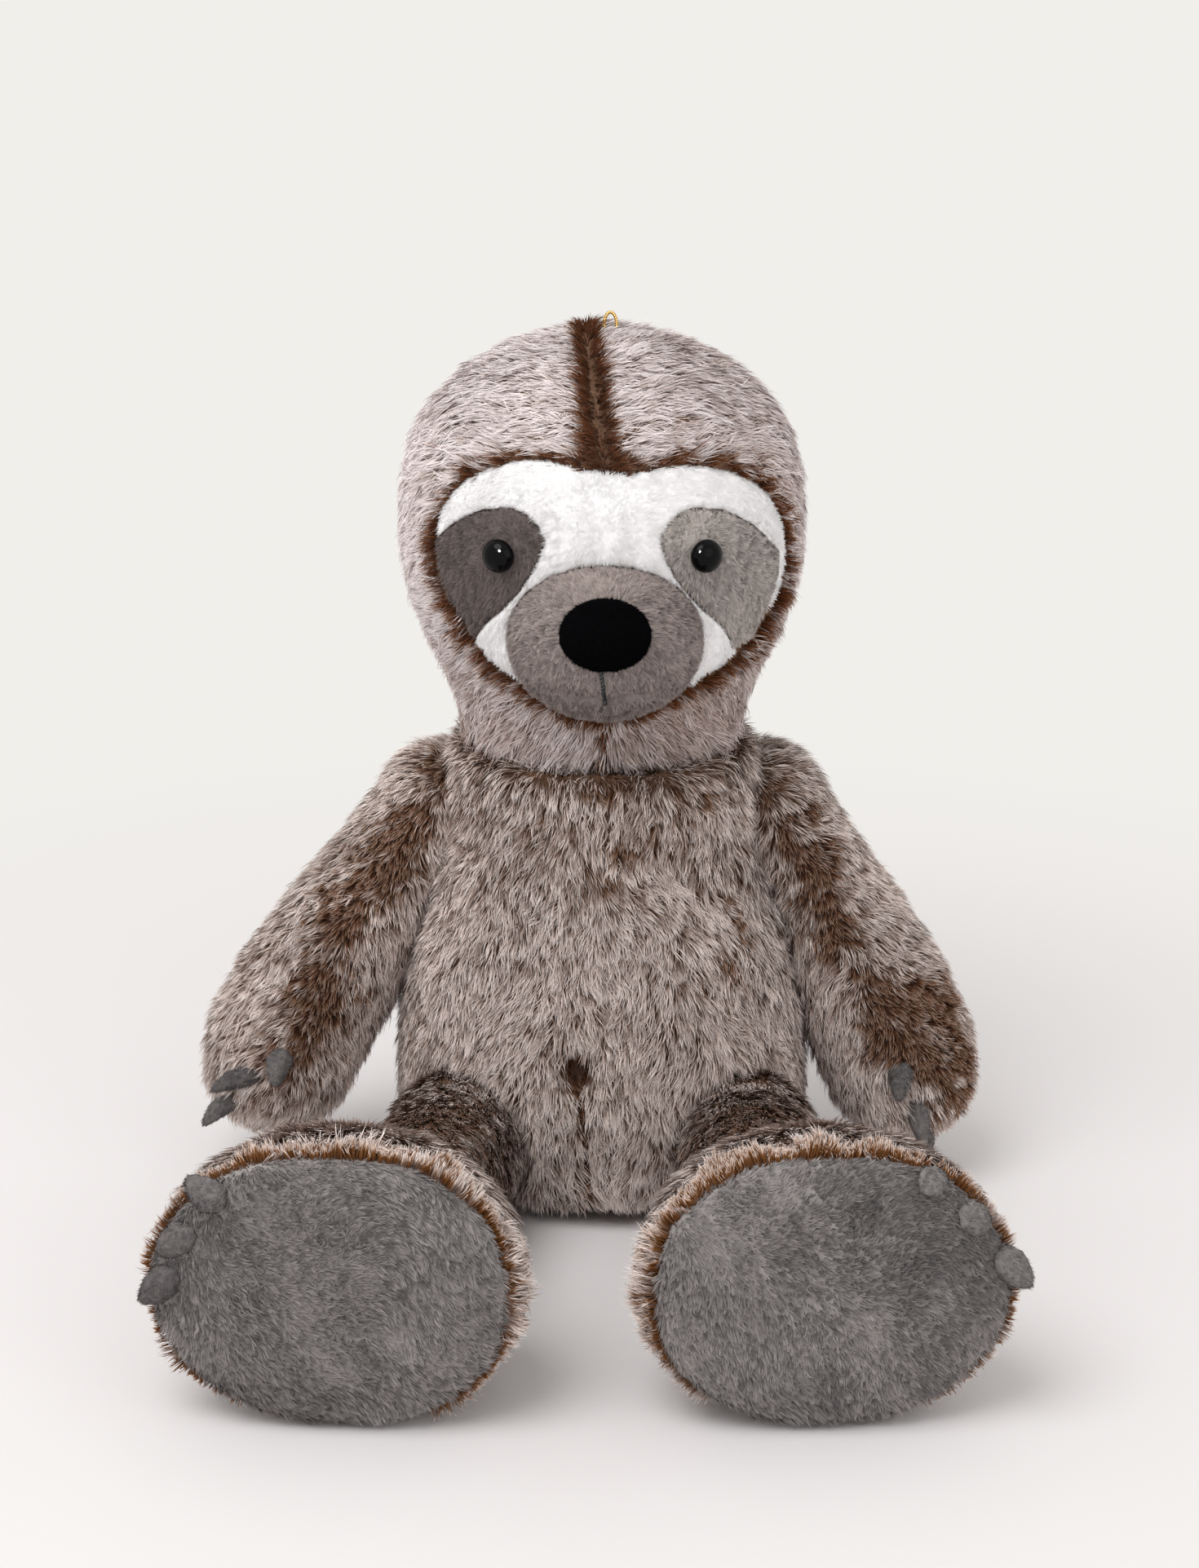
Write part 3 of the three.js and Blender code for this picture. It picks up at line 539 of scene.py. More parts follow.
# A pad of the merged CAD skin and filling, remeshed, smoothed and blown up
def stuffedPad(name, nodes, body, material, cap=0, hold=(), voxel=None, smooth=2, divide=1):
    bm = bmesh.new()
    for node in nodes:
        bm.from_mesh(frame["nodes"][node].data)
    bmesh.ops.remove_doubles(bm, verts=bm.verts, dist=1e-5)
    piece = newPiece(name, bm, material)
    remesh = piece.modifiers.new("remesh", "REMESH")
    remesh.mode = "VOXEL"
    remesh.voxel_size = (voxel or padShape["voxel"]) * mm
    applyModifiers(piece)
    relax = piece.modifiers.new("relax", "SMOOTH")
    relax.factor = 0.5
    relax.iterations = smooth
    applyModifiers(piece)
    if cap:
        swell(piece, cap, hold)
    if divide:
        divided = piece.modifiers.new("divide", "SUBSURF")
        divided.levels = divide
        divided.render_levels = divide
        applyModifiers(piece)
    piece.data.materials.clear()
    piece.data.materials.append(material)
    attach(piece, body)
    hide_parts(*nodes)
    return piece


# A small pad of one node, too stiff to be blown up
def smallPad(name, node, body, material, voxel, smooth=3):
    return stuffedPad(name, [node], body, material, voxel=voxel, smooth=smooth, divide=0)


# Pushes a soft dent into a pad round a centre, with its reach along each axis
def press(piece, centre, reach, depth, way):
    points = readPoints(piece.data)
    gap = (points - np.array(centre)) / np.array(reach)
    weight = np.exp(-np.sum(gap * gap, axis=1))
    writePoints(piece.data, points + weight[:, None] * np.array(way) * depth)


# Draws a seam groove down a pad along a line given in X and Z, on the side that faces -Y
def pressLine(piece, line, width, depth, way):
    points = readPoints(piece.data)
    gap, along = distanceToLine(points[:, 0], points[:, 2], line)
    weight = bell(gap, width) * smoothstep(0.0, 0.4, -readNormals(piece.data)[:, 1]) * smoothstep(0, 0.1, along)
    weight = weight * smoothstep(0, 0.1, 1 - along)
    writePoints(piece.data, points + weight[:, None] * np.array(way) * depth)


jointAt = {joint["child"]: np.array(joint["pos_m"]) / mm for joint in frame["joints"]}
neckAt = jointAt["head"]
inward = (0, 1, 0)

torsoShape = {
    "swell": 1.6,
    "hold": {"arm_left": 27, "arm_right": 27, "leg_left": 28, "leg_right": 28, "head": 70},
    "seam": [(-9, 66), (-8.5, 56), (-7, 42), (-6, 16)],
    "seamWidth": 3.5,
    "seamDepth": 3.2,
    "dimpleAt": (-9, -70, 64),
    "dimpleReach": (7, 20, 8),
    "dimpleDepth": 8,
}
torsoPad = stuffedPad("torsoPad", ["torso_skin", "torso_filling"], "torso", furBacking,
                      torsoShape["swell"], [(jointAt[body], reach) for body, reach in torsoShape["hold"].items()])
pressLine(torsoPad, torsoShape["seam"], torsoShape["seamWidth"], torsoShape["seamDepth"], inward)
press(torsoPad, torsoShape["dimpleAt"], torsoShape["dimpleReach"], torsoShape["dimpleDepth"], inward)
neckPad = stuffedPad("neckPad", ["neck_band"], "neck", furBacking, voxel=3, smooth=1)
headShape = {"swell": 1.5, "hold": 62.5}
headPad = stuffedPad("headPad", ["head_hood", "head_filling"], "head", furBacking,
                     headShape["swell"], [(neckAt, headShape["hold"])])

# hold is how far round each joint a pad stays as it is
limbShapes = {
    "arm": {"layers": ("skin", "filling"), "swell": 1.5, "fill": 0.7, "hold": {"arm": 26}},
    "leg": {"layers": ("skin", "filling"), "swell": 1.0, "fill": 0.7, "hold": {"leg": 27, "foot": 23}},
    "foot": {"layers": ("upper", "filling"), "swell": 1.2, "fill": 0.8, "hold": {"foot": 24}},
}
limbPads = {}
for side in sides:
    for limb, shape in limbShapes.items():
        body = f"{limb}_{side}"
        limbPads[body] = stuffedPad(
            f"{limb}Pad_{side}", [f"{body}_{layer}" for layer in shape["layers"]], body, furBacking,
            shape["swell"], [(jointAt[f"{key}_{side}"], reach) for key, reach in shape["hold"].items()])
    limbPads["sole_" + side] = smallPad(f"solePad_{side}", f"foot_{side}_sole", "foot_" + side, soleBacking,
                                        2)

# X, Z, reach in X, reach in Z and depth
soleDents = {
    "left": ((62, 60, 9, 14, 4.0), (52, 36, 8, 11, 3.0), (92, 76, 16, 9, 3.0), (104, 58, 8, 12, 3.0)),
    "right": ((-70, 40, 22, 12, 1.5), (-112, 70, 9, 18, 1.5)),
}
for side, dents in soleDents.items():
    for x, z, wide, high, deep in dents:
        for part in ("sole_", "foot_"):
            press(limbPads[part + side], (x, -224, z), (wide, 30, high), deep, inward)

facePads = {}
for key, name, node, material, slot, fill, voxel, smooth in (
    ("face", "facePad", "face_panel", whiteBacking, "face_pile", 0.5, 1.5, 3),
    ("patch_right", "patchPad_right", "eye_patch_right", patchDarkBacking, "patch_pile_dark", 0.4, 1.2, 3),
    ("patch_left", "patchPad_left", "eye_patch_left", patchBacking, "patch_pile", 0.4, 1.2, 3),
    ("muzzle", "muzzlePad", "muzzle", muzzleBacking, "muzzle_pile", 0.8, 2, 4),
    ("nose", "nosePad", "nose", velvetBacking, "nose_velvet", 0.8, 1.1, 5),
):
    facePads[key] = smallPad(name, node, "head", material, voxel, smooth)
lipShape = {
    "line": ((-13, 214.5), (-6, 213), (1, 212.5), (8, 213), (15, 214.5)),
    "reach": (5, 16, 2.2),
    "depth": 2.6,
    "way": (0, 0.9, 0.4),
}
for x, z in lipShape["line"]:
    press(facePads["muzzle"], (x, -90, z), lipShape["reach"], lipShape["depth"], lipShape["way"])
clawPads = {}
for side in sides:
    toeBacking = paleClawBacking if side == "left" else clawBacking
    for number in (1, 2, 3):
        clawPads[f"hand_{side}_{number}"] = smallPad(
            f"handClaw_{side}_{number}", f"hand_claw_{side}_{number}", "arm_" + side, clawBacking,
            0.8)
        clawPads[f"toe_{side}_{number}"] = smallPad(
            f"toeClaw_{side}_{number}", f"toe_claw_{side}_{number}", "foot_" + side, toeBacking,
            0.9)
print("pads stuffed")

# Fur

furStyle = {
    "density": 1.88,  # strands on a square millimetre
    "length": 8.2,
    "width": 0.38,
    "clump": 2.6,
    "gather": 0.3,
    "gaps": 0.13,  # share of the clumps that lie low and dark
    "gapTone": 0.45,  # how much darker these are
    "sheen": 0.4,  # how far a strand's own side shows in its shading
}
crownStyle = dict(furStyle, gaps=0.05, gapTone=0.3, length=7.8)
mostStrands = 62000  # in one piece


def surfaceOf(piece):
    mesh = piece.data
    mesh.calc_loop_triangles()
    corners = np.empty(len(mesh.loop_triangles) * 3, np.int32)
    mesh.loop_triangles.foreach_get("vertices", corners)
    return readPoints(mesh), readNormals(mesh), corners.reshape(-1, 3)


# 1 for each point of a pad that another piece lies on or close over
def coveredBy(piece, others, reach):
    mesh = piece.data
    covered = np.zeros(len(mesh.vertices))
    trees = [treeOf(other) for other in others]
    reach = reach * mm
    for v in mesh.vertices:
        start = v.co + v.normal * 0.1 * mm
        for tree in trees:
            if tree.ray_cast(start, v.normal, reach)[0] is not None:
                covered[v.index] = 1
                break
            place, normal, face, gap = tree.find_nearest(v.co, reach)
            if place is not None and (v.co - place).dot(normal) < 0:
                covered[v.index] = 1
                break
    return covered


# Random roots on a surface, fewer where keep is low
def scatter(surface, covered, density, keep, rng):
    points, normals, corners = surface
    a, b, c = points[corners[:, 0]], points[corners[:, 1]], points[corners[:, 2]]
    area = np.linalg.norm(np.cross(b - a, c - a), axis=1) / 2
    share = area * keep((a + b + c) / 3, unit(normals[corners].sum(axis=1)))
    if covered is not None:
        share = share * (1 - covered[corners].mean(axis=1)) ** 2
    count = int(share.sum() * density)
    pick = rng.choice(len(corners), size=count, p=share / share.sum())
    u, v = rng.random(count), rng.random(count)
    over = u + v > 1
    u, v = np.where(over, 1 - u, u), np.where(over, 1 - v, v)
    tri, weights = corners[pick], (1 - u - v, u, v)
    roots, facing = (sum(w[:, None] * values[tri[:, k]] for k, w in enumerate(weights)) for values in (points, normals))
    return roots, unit(facing)


# Number of the clump that each root is in, from a grid whose walls are bent by noise
def clumpsOf(roots, size, seed):
    bent = roots.copy()
    for axis in range(3):
        bent[:, axis] += waves(roots, size * 2.7, seed + axis) * size * 0.8
    cell = np.floor(bent / size).astype(np.int64)
    key = (cell[:, 0] * 73856093) ^ (cell[:, 1] * 19349663) ^ (cell[:, 2] * 83492791)
    _, number = np.unique(key, return_inverse=True)
    return number


# How the strands of a pile differ. Pairs hold what a clump has in common and what each strand has of its own
habit = {
    "turn": (0.28, 0.2),
    "lift": (0.09, 0.07),
    "liftRange": (0.08, 1.2),
    "tone": (0.22, 0.2),
    "brown": (0.4, 0.2),
    "brownFrom": 0.18,
    "lowLength": 0.72,  # of the clumps that lie low
    "clumpLength": 0.14,
    "length": (0.75, 1.15),
    "width": (0.7, 1.3),
    "gather": (0.4, 1.0),
    "bend": (1.15, 0.82),  # how steeply a strand's middle and its tip rise
    "roll": 0.45,
    "sunk": 0.4,
    "offFloor": 0.3,
    "bendsFrom": 5,  # shorter strands are straight slivers
}


# Grows strands on a pad. keep thins them out, comb gives each one's lie, look its length, lift, tone and seam.
# Each of these is one number for all strands or one for each
def growPile(name, piece, body, material, style, keep, comb, look, seed, covered=None):
    rng = np.random.default_rng(seed)
    roots, facing = scatter(surfaceOf(piece), covered, style["density"], keep, rng)
    count = len(roots)
    clump = clumpsOf(roots, style["clump"], seed)
    clumps = clump.max() + 1

    def vary(common, own):
        return common * rng.normal(size=clumps)[clump] + own * rng.normal(size=count)

    lie = comb(roots, facing)
    lie = unit(lie - np.sum(lie * facing, axis=1, keepdims=True) * facing)
    aside = np.cross(facing, lie)
    turn = vary(*habit["turn"]) + 0.25 * waves(roots, 34, seed + 9)
    lie = unit(lie * np.cos(turn)[:, None] + aside * np.sin(turn)[:, None])
    longer, lift, tone, seam = (np.zeros(count) + value for value in look(roots, facing))
    tone = np.clip(tone, 0, 1)
    low = (rng.random(clumps) < style["gaps"])[clump]
    longer = np.where(low, longer * habit["lowLength"], longer)
    tone = np.where(low, tone + style["gapTone"], tone)
    length = style["length"] * longer * rng.uniform(*habit["length"], count)
    length *= 1 + habit["clumpLength"] * rng.normal(size=clumps)[clump]
    lift = np.clip(lift + vary(*habit["lift"]), *habit["liftRange"])
    rise, run = np.sin(lift), np.cos(lift)
    middleRise, tipRise = habit["bend"]
    middle = roots + (length * 0.5)[:, None] * (facing * (rise * middleRise)[:, None] + lie * run[:, None])
    tips = roots + length[:, None] * (facing * (rise * tipRise)[:, None] + lie * run[:, None])
    # Tips in a clump draw together
    weight = np.bincount(clump, minlength=clumps)
    centre = np.stack([np.bincount(clump, tips[:, k], clumps) / weight for k in range(3)], axis=1)
    pull = style["gather"] * rng.uniform(*habit["gather"], count)[:, None]
    tips += (centre[clump] - tips) * pull
    middle += (centre[clump] - tips) * pull * 0.12
    way = unit(tips - roots)
    across = unit(np.cross(way, facing))
    roll = rng.normal(0, habit["roll"], count)[:, None]
    flat = np.cross(across, way)
    across = across * np.cos(roll) + flat * np.sin(roll)
    half = (style["width"] / 2 * rng.uniform(*habit["width"], count))[:, None] * across
    sunk = roots - facing * habit["sunk"]
    if style["length"] > habit["bendsFrom"]:
        blade = np.stack([sunk - half, sunk + half, middle - half * 0.85, middle + half * 0.85, tips], axis=1)
    else:
        blade = np.stack([sunk - half, sunk + half, tips], axis=1)
    blade[:, :, 2] = np.maximum(blade[:, :, 2], habit["offFloor"])  # the floor presses the pile flat
    front = unit(facing * 0.8 + flat * style["sheen"])
    strandTone = np.clip(tone + vary(*habit["tone"]), 0, 1)
    # The seam value is how likely a clump is to be brown, so that brown fur comes in flecks
    common, own = habit["brown"]
    bar = common * rng.random(clumps)[clump] + own * rng.random(count) + habit["brownFrom"]
    bar += 0.3 * waves(roots, 7, seed + 8)
    brown = smoothstep(-0.14, 0.14, seam - bar) * (seam > 0.02)
    shown = 1 - 0.75 * np.clip(seam - 1, 0, 1)  # a seam value over 1 keeps a strand as dark as its root
    parts = math.ceil(count / mostStrands)
    order = np.argsort(roots[:, 2], kind="stable")
    for part in range(parts):
        some = order[part * count // parts:(part + 1) * count // parts]
        strands = strandMesh(f"{name}_{part + 1}" if parts > 1 else name, blade[some], front[some], strandTone[some],
                             brown[some], shown[some], material)
        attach(strands, body)


# Long strands bend in the middle and have five points, short ones are a single sliver
def strandMesh(name, blade, front, tone, seam, shown, material):
    count, corners = blade.shape[:2]
    bent = corners == 5
    rings = np.array([0, 1, 3, 2, 2, 3, 4] if bent else [0, 1, 2], np.int32)
    faces = np.array([0, 4] if bent else [0], np.int32)
    along = np.array([0, 0, 0.5, 0.5, 1] if bent else [0, 0, 1], np.float32)
    mesh = bpy.data.meshes.new(name)
    mesh.vertices.add(count * corners)
    mesh.vertices.foreach_set("co", (blade * mm).astype(np.float32).ravel())
    base = np.arange(count, dtype=np.int32)[:, None]
    mesh.loops.add(count * len(rings))
    mesh.loops.foreach_set("vertex_index", (base * corners + rings).ravel())
    mesh.polygons.add(count * len(faces))
    mesh.polygons.foreach_set("loop_start", (base * len(rings) + faces).ravel())
    mesh.update(calc_edges=True)
    mesh.polygons.foreach_set("use_smooth", np.ones(count * len(faces), bool))
    for label, values in (
        ("along", np.outer(shown, along).ravel()),
        ("tone", np.repeat(tone, corners)),
        ("seam", np.repeat(seam, corners)),
    ):
        layer = mesh.attributes.new(label, "FLOAT", "POINT")
        layer.data.foreach_set("value", values.astype(np.float32))
    mesh.normals_split_custom_set_from_vertices(np.repeat(front, corners, axis=0).astype(np.float32))
    mesh.materials.append(material)
    return newObject(name, mesh)


bareRound = {"neck": 60, "arm": 24, "leg": 25, "foot": 22}  # reach round each joint where no fur stands


def outside(centre, radius, points, soft=5):
    return smoothstep(radius - soft, radius, np.linalg.norm(points - np.array(centre), axis=1))


def aboveFloor(points, height=2.5):
    return smoothstep(0, height, points[:, 2])


# Where fur isn't seen it is left off, so that more stands where it is
def keepTorso(points, facing):
    keep = outside(neckAt, bareRound["neck"], points, 2) * np.where(facing[:, 2] < -0.75, 0, 1)
    for side in sides:
        for limb in ("arm", "leg"):
            keep *= outside(jointAt[f"{limb}_{side}"], bareRound[limb], points)
    keep *= 1 - 0.75 * dimpleOf(points, 6, 8)
    return keep * aboveFloor(points)


# 1 in the heart of the belly dimple, 0 away from it
def dimpleOf(points, wide, high):
    x, y, z = points.T
    return bell(x + 9, wide) * bell(z - 65, high) * (y < -30)


# Down the body, and a little tousled under the chin
def combTorso(points, facing):
    x, y, z = points.T
    collar = smoothstep(172, 180, z)
    sideways = 0.35 * waves(points, 55, 5) + 0.003 * x + 0.8 * collar * waves(points, 20, 7)
    # The pile parts at the belly seam and turns away from the dimple
    beside = x - lineAt(torsoShape["seam"], z)
    parted = bell(beside, 5) * smoothstep(82, 66, z) * (y < 0)
    return ways(sideways + 0.6 * np.tanh(beside) * parted, 0, 0.2 * collar - 1)


torsoSpots = ((0, 142, 7, 5, 0.8), (9, 151, 5, 4, 0.65), (2, 174, 9, 4, 0.7), (16, 156, 5, 7, 0.5),
              (-24, 158, 9, 4, 0.4), (34, 168, 8, 5, 0.45))


def lookTorso(points, facing):
    x, y, z = points.T
    gap, along = distanceToLine(x, z, torsoShape["seam"])
    front = facing[:, 1] < 0
    seam = bell(gap, 1.3) * front * np.interp(along, [0, 0.4, 1], [1, 0.9, 0.7])
    dimple = dimpleOf(points, 4.2, 7.5) * 1.3
    tone = 0.17 + 0.36 * waves(points * np.array([1.0, 1.0, 0.55]), 6, 11) + 0.14 * waves(points, 40, 12)
    tone += 0.25 * smoothstep(100, 160, z)
    tone += 0.15 * smoothstep(160, 178, z) * np.clip(0.6 + 0.6 * waves(points, 14, 14), 0, 1)
    # One brown streak runs down the toy's left side of the chest
    streak = bell(x - 46, 4.5) * smoothstep(86, 94, z) * smoothstep(140, 132, z)
    streak *= np.clip(0.75 + 0.6 * waves(points, 13, 15), 0, 1)
    rust = (spotsAt(x, z, torsoSpots) + 0.85 * streak) * front
    longer = 1 - 0.5 * np.clip(np.maximum(seam, dimple), 0, 1)
    lift = 0.5 + 0.12 * waves(points, 20, 13) + 0.25 * smoothstep(160, 176, z)
    return longer, lift, tone, np.clip(np.maximum(np.maximum(2 * seam, 2 * dimple), rust), 0, 2)


growPile("torsoFur", torsoPad, "torso", longFur, furStyle, keepTorso, combTorso, lookTorso, 21)


def keepNeck(points, facing):
    out = points - np.array(neckAt)
    return (np.sum(out * facing, axis=1) > 0) * smoothstep(0.9, 0.75, -unit(out)[:, 2])


def lookNeck(points, facing):
    return 1, 0.45, 0.55 + 0.25 * waves(points, 14, 31), 0.1


growPile("neckFur", neckPad, "neck", longFur, furStyle, keepNeck, combTorso, lookNeck, 22)

# Head: the pile is combed away from a parting that runs over the crown

parting = {
    "rise": [286, 295, 306, 321, 334],
    "side": [1, 0, -2, -4.5, -6.5],
    "width": [11, 5.2, 3.7, 3.0, 2.8],
}
# The hood's roots run on under the face for 1.8 mm
faceRim = outlineOf(("face_panel", "eye_patch_left", "eye_patch_right", "muzzle"), (3, 245), 72, 0.992,
                    1.8)


def keepHead(points, facing):
    x, y, z = points.T
    return smoothstep(172, 178, z) * ~(insideRim(x, z, faceRim) & (y < -8))


def combHead(points, facing):
    x, y, z = points.T
    sideways = np.tanh((x - np.interp(z, parting["rise"], parting["side"])) / 2.5)
    down = -0.25 - 0.55 * smoothstep(30, 70, np.abs(x)) - 1.2 * smoothstep(215, 190, z)
    # Round the face the pile leans away from the opening
    rimGap, _ = distanceToLine(x, z, faceRim)
    away = unit(ways(x - 3, 0, z - 240))
    return ways(sideways, 0.15, down) + away * (0.9 * bell(rimGap, 9) * (y < 0))[:, None]


def lookHead(points, facing):
    x, y, z = points.T
    beside = x - np.interp(z, parting["rise"], parting["side"])
    width = np.interp(z, parting["rise"], parting["width"])
    stripe = np.exp(-(beside / width) ** 4) * smoothstep(262, 280, z) * (y < 20)
    rimGap, _ = distanceToLine(x, z, faceRim)
    broken = np.clip(0.85 + 0.35 * waves(points, 16, 43) + 0.3 * smoothstep(0, 50, x), 0.2, 1.2)
    fringe = bell(rimGap, np.where(z > 270, 3.6, 3.9) * broken) * (y < 5)
    chinSeam = bell(x - 0.5, 1.6) * smoothstep(200, 192, z) * (y < -20)
    seam = np.clip(1.2 * stripe + 0.85 * fringe + 0.9 * chinSeam, 0, 1)
    tone = 0.06 + 0.24 * waves(points, 6, 41) + 0.1 * waves(points, 40, 42)
    tone += 0.34 * smoothstep(0, 20, x) + 0.55 * smoothstep(235, 195, z)
    longer = 1 + 0.5 * smoothstep(196, 184, z)
    # The middle of the stripe stays as dark as its roots
    seam += 0.6 * stripe * bell(beside, 1.8)
    lift = 0.34 + 0.42 * np.minimum(seam, 1) + 0.5 * smoothstep(200, 186, z)
    return longer, lift, tone, seam


growPile("headFur", headPad, "head", crownFur, crownStyle, keepHead, combHead, lookHead, 23)
print("torso and head furred")

# Arms. Each seam runs down the front of its arm, in X and Z

armSeams = {
    "right": [(-50, 178), (-66, 151), (-75, 138), (-82, 122),
              (-99, 109), (-111, 68), (-121, 52)],
    "left": [(52, 170), (69, 148), (82, 124), (93, 99),
             (101, 86), (112, 66), (130, 52)],
}
# Brown zones on the front of the arms
armSpots = {
    "right": ((-98, 113, 10, 10, 0.95), (-81, 134, 10, 10, 1.0), (-106, 83, 13, 13, 1.0), (-62, 170, 8, 8, 0.6),
              (-71, 150, 8, 8, 0.7), (-90, 124, 6, 6, 0.5), (-122, 58, 8, 8, 0.7)),
    "left": ((70, 144, 9, 9, 0.8), (79, 132, 9, 9, 0.9), (84, 158, 8, 8, 0.6), (84, 117, 6, 6, 0.55),
             (88, 104, 6, 6, 0.75), (98, 91, 6, 6, 0.6), (109, 77, 12, 12, 0.95), (126, 77, 11, 11, 0.75),
             (121, 60, 12, 12, 0.95), (136, 52, 10, 10, 0.8), (104, 66, 7, 7, 0.6), (134, 36, 10, 10, 0.6)),
}


def growArm(side, seed):
    sign = 1 if side == "left" else -1
    seamLine = armSeams[side]

    def keepArm(points, facing):
        # The ball end inside the torso carries no fur
        x, y, z = points.T
        inner = smoothstep(48, 56, sign * x + 0.25 * np.abs(z - 140))
        return np.maximum(inner, smoothstep(145, 160, z) * (sign * x > 44))

    def combArm(points, facing):
        x, y, z = points.T
        gap, _ = distanceToLine(x, z, seamLine)
        apart = np.tanh((x - lineAt(seamLine, z)) / 6) * bell(gap, 16) * (facing[:, 1] < 0)
        return ways(sign * 0.5 + 0.9 * apart, 0, -1)

    def lookArm(points, facing):
        x, y, z = points.T
        gap, _ = distanceToLine(x, z, seamLine)
        front = smoothstep(0.1, 0.5, -facing[:, 1])
        broken = np.clip(0.3 + 0.3 * waves(points, 16, seed + 50), 0, 1)
        seam = bell(gap, 5) * broken + spotsAt(x, z, armSpots[side])
        seam = np.clip(seam * front, 0, 0.8)
        tone = 0.22 + 0.32 * waves(points, 8, seed + 51) + 0.12 * waves(points, 40, seed + 52)
        tone += 0.3 * bell(gap, 15) * front
        # Paler on the side toward the body
        inner = smoothstep(8, 20, sign * (lineAt(seamLine, z) - x)) * smoothstep(110, 90, z)
        tone -= 0.35 * inner
        return 1 - 0.1 * seam, 0.5 + 0.5 * seam, tone, seam

    growPile(f"armFur_{side}", limbPads["arm_" + side], "arm_" + side, longFur, furStyle, keepArm, combArm,
             lookArm, seed)


def growLeg(side, seed):
    hipY, footY = jointAt["leg_" + side][1], jointAt["foot_" + side][1]

    def keepLeg(points, facing):
        along = (points[:, 1] - hipY) / (footY - hipY)
        return smoothstep(-0.3, -0.2, along) * smoothstep(1.0, 0.9, along) * np.where(facing[:, 2] < -0.8, 0.2, 1)

    def combLeg(points, facing):
        return np.array([0, -1, -0.5])

    # Darker toward the foot, with a brown band across the shin
    def lookLeg(points, facing):
        x, y, z = points.T
        low = smoothstep(-78, -108, y + 7 * waves(points, 20, seed + 54))
        band = bell(y + 96, 17) * smoothstep(20, 50, z)
        tone = 0.56 + 0.3 * low + 0.3 * waves(points, 9, seed + 50) + 0.3 * band
        return 0.9, 0.4, tone, 0.45 * band

    growPile(f"legFur_{side}", limbPads["leg_" + side], "leg_" + side, longFur, furStyle, keepLeg, combLeg,
             lookLeg, seed)


# Feet: fur behind, a turned rim at the seam, and a short-pile sole

shortStyle = dict(furStyle, density=3.0, length=3.8, width=0.5, clump=2.4, gather=0.5, gaps=0.14, gapTone=0.6,
                  sheen=0.7)
rimStyle = dict(furStyle, density=4.2, width=0.3, clump=1.8, gather=0.2, length=7.6)
paintedToeShade = {"right": 0.45, "left": 0.8}  # how much painted shade darkens the sole by the toes, beside the claws


def growFoot(side, seed):
    pad, sole = limbPads["foot_" + side], limbPads["sole_" + side]
    low, high = (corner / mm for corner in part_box(f"foot_{side}_sole"))
    centre = np.array([low.x + high.x, low.z + high.z]) / 2
    rim = outlineOf([f"foot_{side}_sole"], centre, 60, 0.99, 2)
    front = low.y
    toes = [clawPads[f"toe_{side}_{number}"] for number in (1, 2, 3)]

    def keepUpper(points, facing):
        under = insideRim(points[:, 0], points[:, 2], rim)
        under &= (points[:, 1] < front + 9) | (facing[:, 1] < -0.25)
        return outside(jointAt["foot_" + side], bareRound["foot"], points) * aboveFloor(points, 4) * ~under

    # Round the sole the pile stands out from the seam, so that its brown roots show beside it
    def combUpper(points, facing):
        x, y, z = points.T
        out = ways(x - centre[0], 0, z - centre[1])
        near = smoothstep(front + 22, front + 8, y)[:, None]
        return np.array([0, -0.5, -0.6]) * (1 - near) + (unit(out) + np.array([0, 0.35, 0])) * near

    def lookUpper(points, facing):
        near = smoothstep(front + 18, front + 10, points[:, 1])
        tone = 0.25 + 0.3 * waves(points, 8, seed + 61) - 0.3 * near
        return 0.95 + 0.1 * near, 0.45 + 0.3 * near, tone, 0.3 * near

    growPile(f"footFur_{side}", pad, "foot_" + side, rimFur, furStyle, keepUpper, combUpper, lookUpper, seed,
             coveredBy(pad, [sole, limbPads["leg_" + side]], 3))

    # The sole's own edge, where the upper's pile stands out of the seam
    def keepRim(points, facing):
        above = smoothstep(8, 20, points[:, 2] + 5 * waves(points, 25, seed + 68))
        wide = (points[:, [0, 2]] - centre) * 1.05 + centre
        edge = ~insideRim(wide[:, 0], wide[:, 1], rim)
        return smoothstep(-0.5, -0.25, facing[:, 1]) * smoothstep(0.5, 0.2, facing[:, 1]) * above * edge

    def combRim(points, facing):
        return np.array([0, 1, 0])

    def lookRim(points, facing):
        rust = np.clip(1.1 + 0.6 * waves(points, 26, seed + 60), 0.3, 1)
        lift = 1.1 + 0.15 * waves(points, 18, seed + 66)
        longer = 0.85 + 0.2 * waves(points, 22, seed + 67)
        return longer, lift, 0.1, rust

    growPile(f"rimFur_{side}", sole, "foot_" + side, rimFur, rimStyle, keepRim, combRim, lookRim, seed + 8,
             coveredBy(sole, toes, 1))

    def keepSole(points, facing):
        return smoothstep(0.25, 0.5, -facing[:, 1]) * aboveFloor(points, 2)

    def combSole(points, facing):
        swirl = waves(points, 90, seed + 62) * 0.9 - 0.5
        return ways(np.cos(swirl), 0, np.sin(swirl))

    def lookSole(points, facing):
        tone = 0.3 + 0.15 * waves(points, 30, seed + 63) + 0.35 * waves(points, 3.5, seed + 64)
        if side == "left":
            tone += 0.3 * smoothstep(46, 66, points[:, 0])
        # Painted shade on the sole round each toe claw
        for toe in toes:
            off = points - readPoints(toe.data).mean(axis=0)
            tone += paintedToeShade[side] * bell(np.linalg.norm(off, axis=1), 15)
        lift = 0.6 + 0.15 * waves(points, 20, seed + 65)
        return 1, lift, tone, 0

    growPile(f"solePile_{side}", sole, "foot_" + side, solePile, shortStyle, keepSole, combSole,
             lookSole, seed + 5, coveredBy(sole, toes, 2))


for number, side in enumerate(("right", "left")):
    growArm(side, 24 + number)
    growLeg(side, 26 + number)
    growFoot(side, 28 + number)
print("limbs furred")

# Face

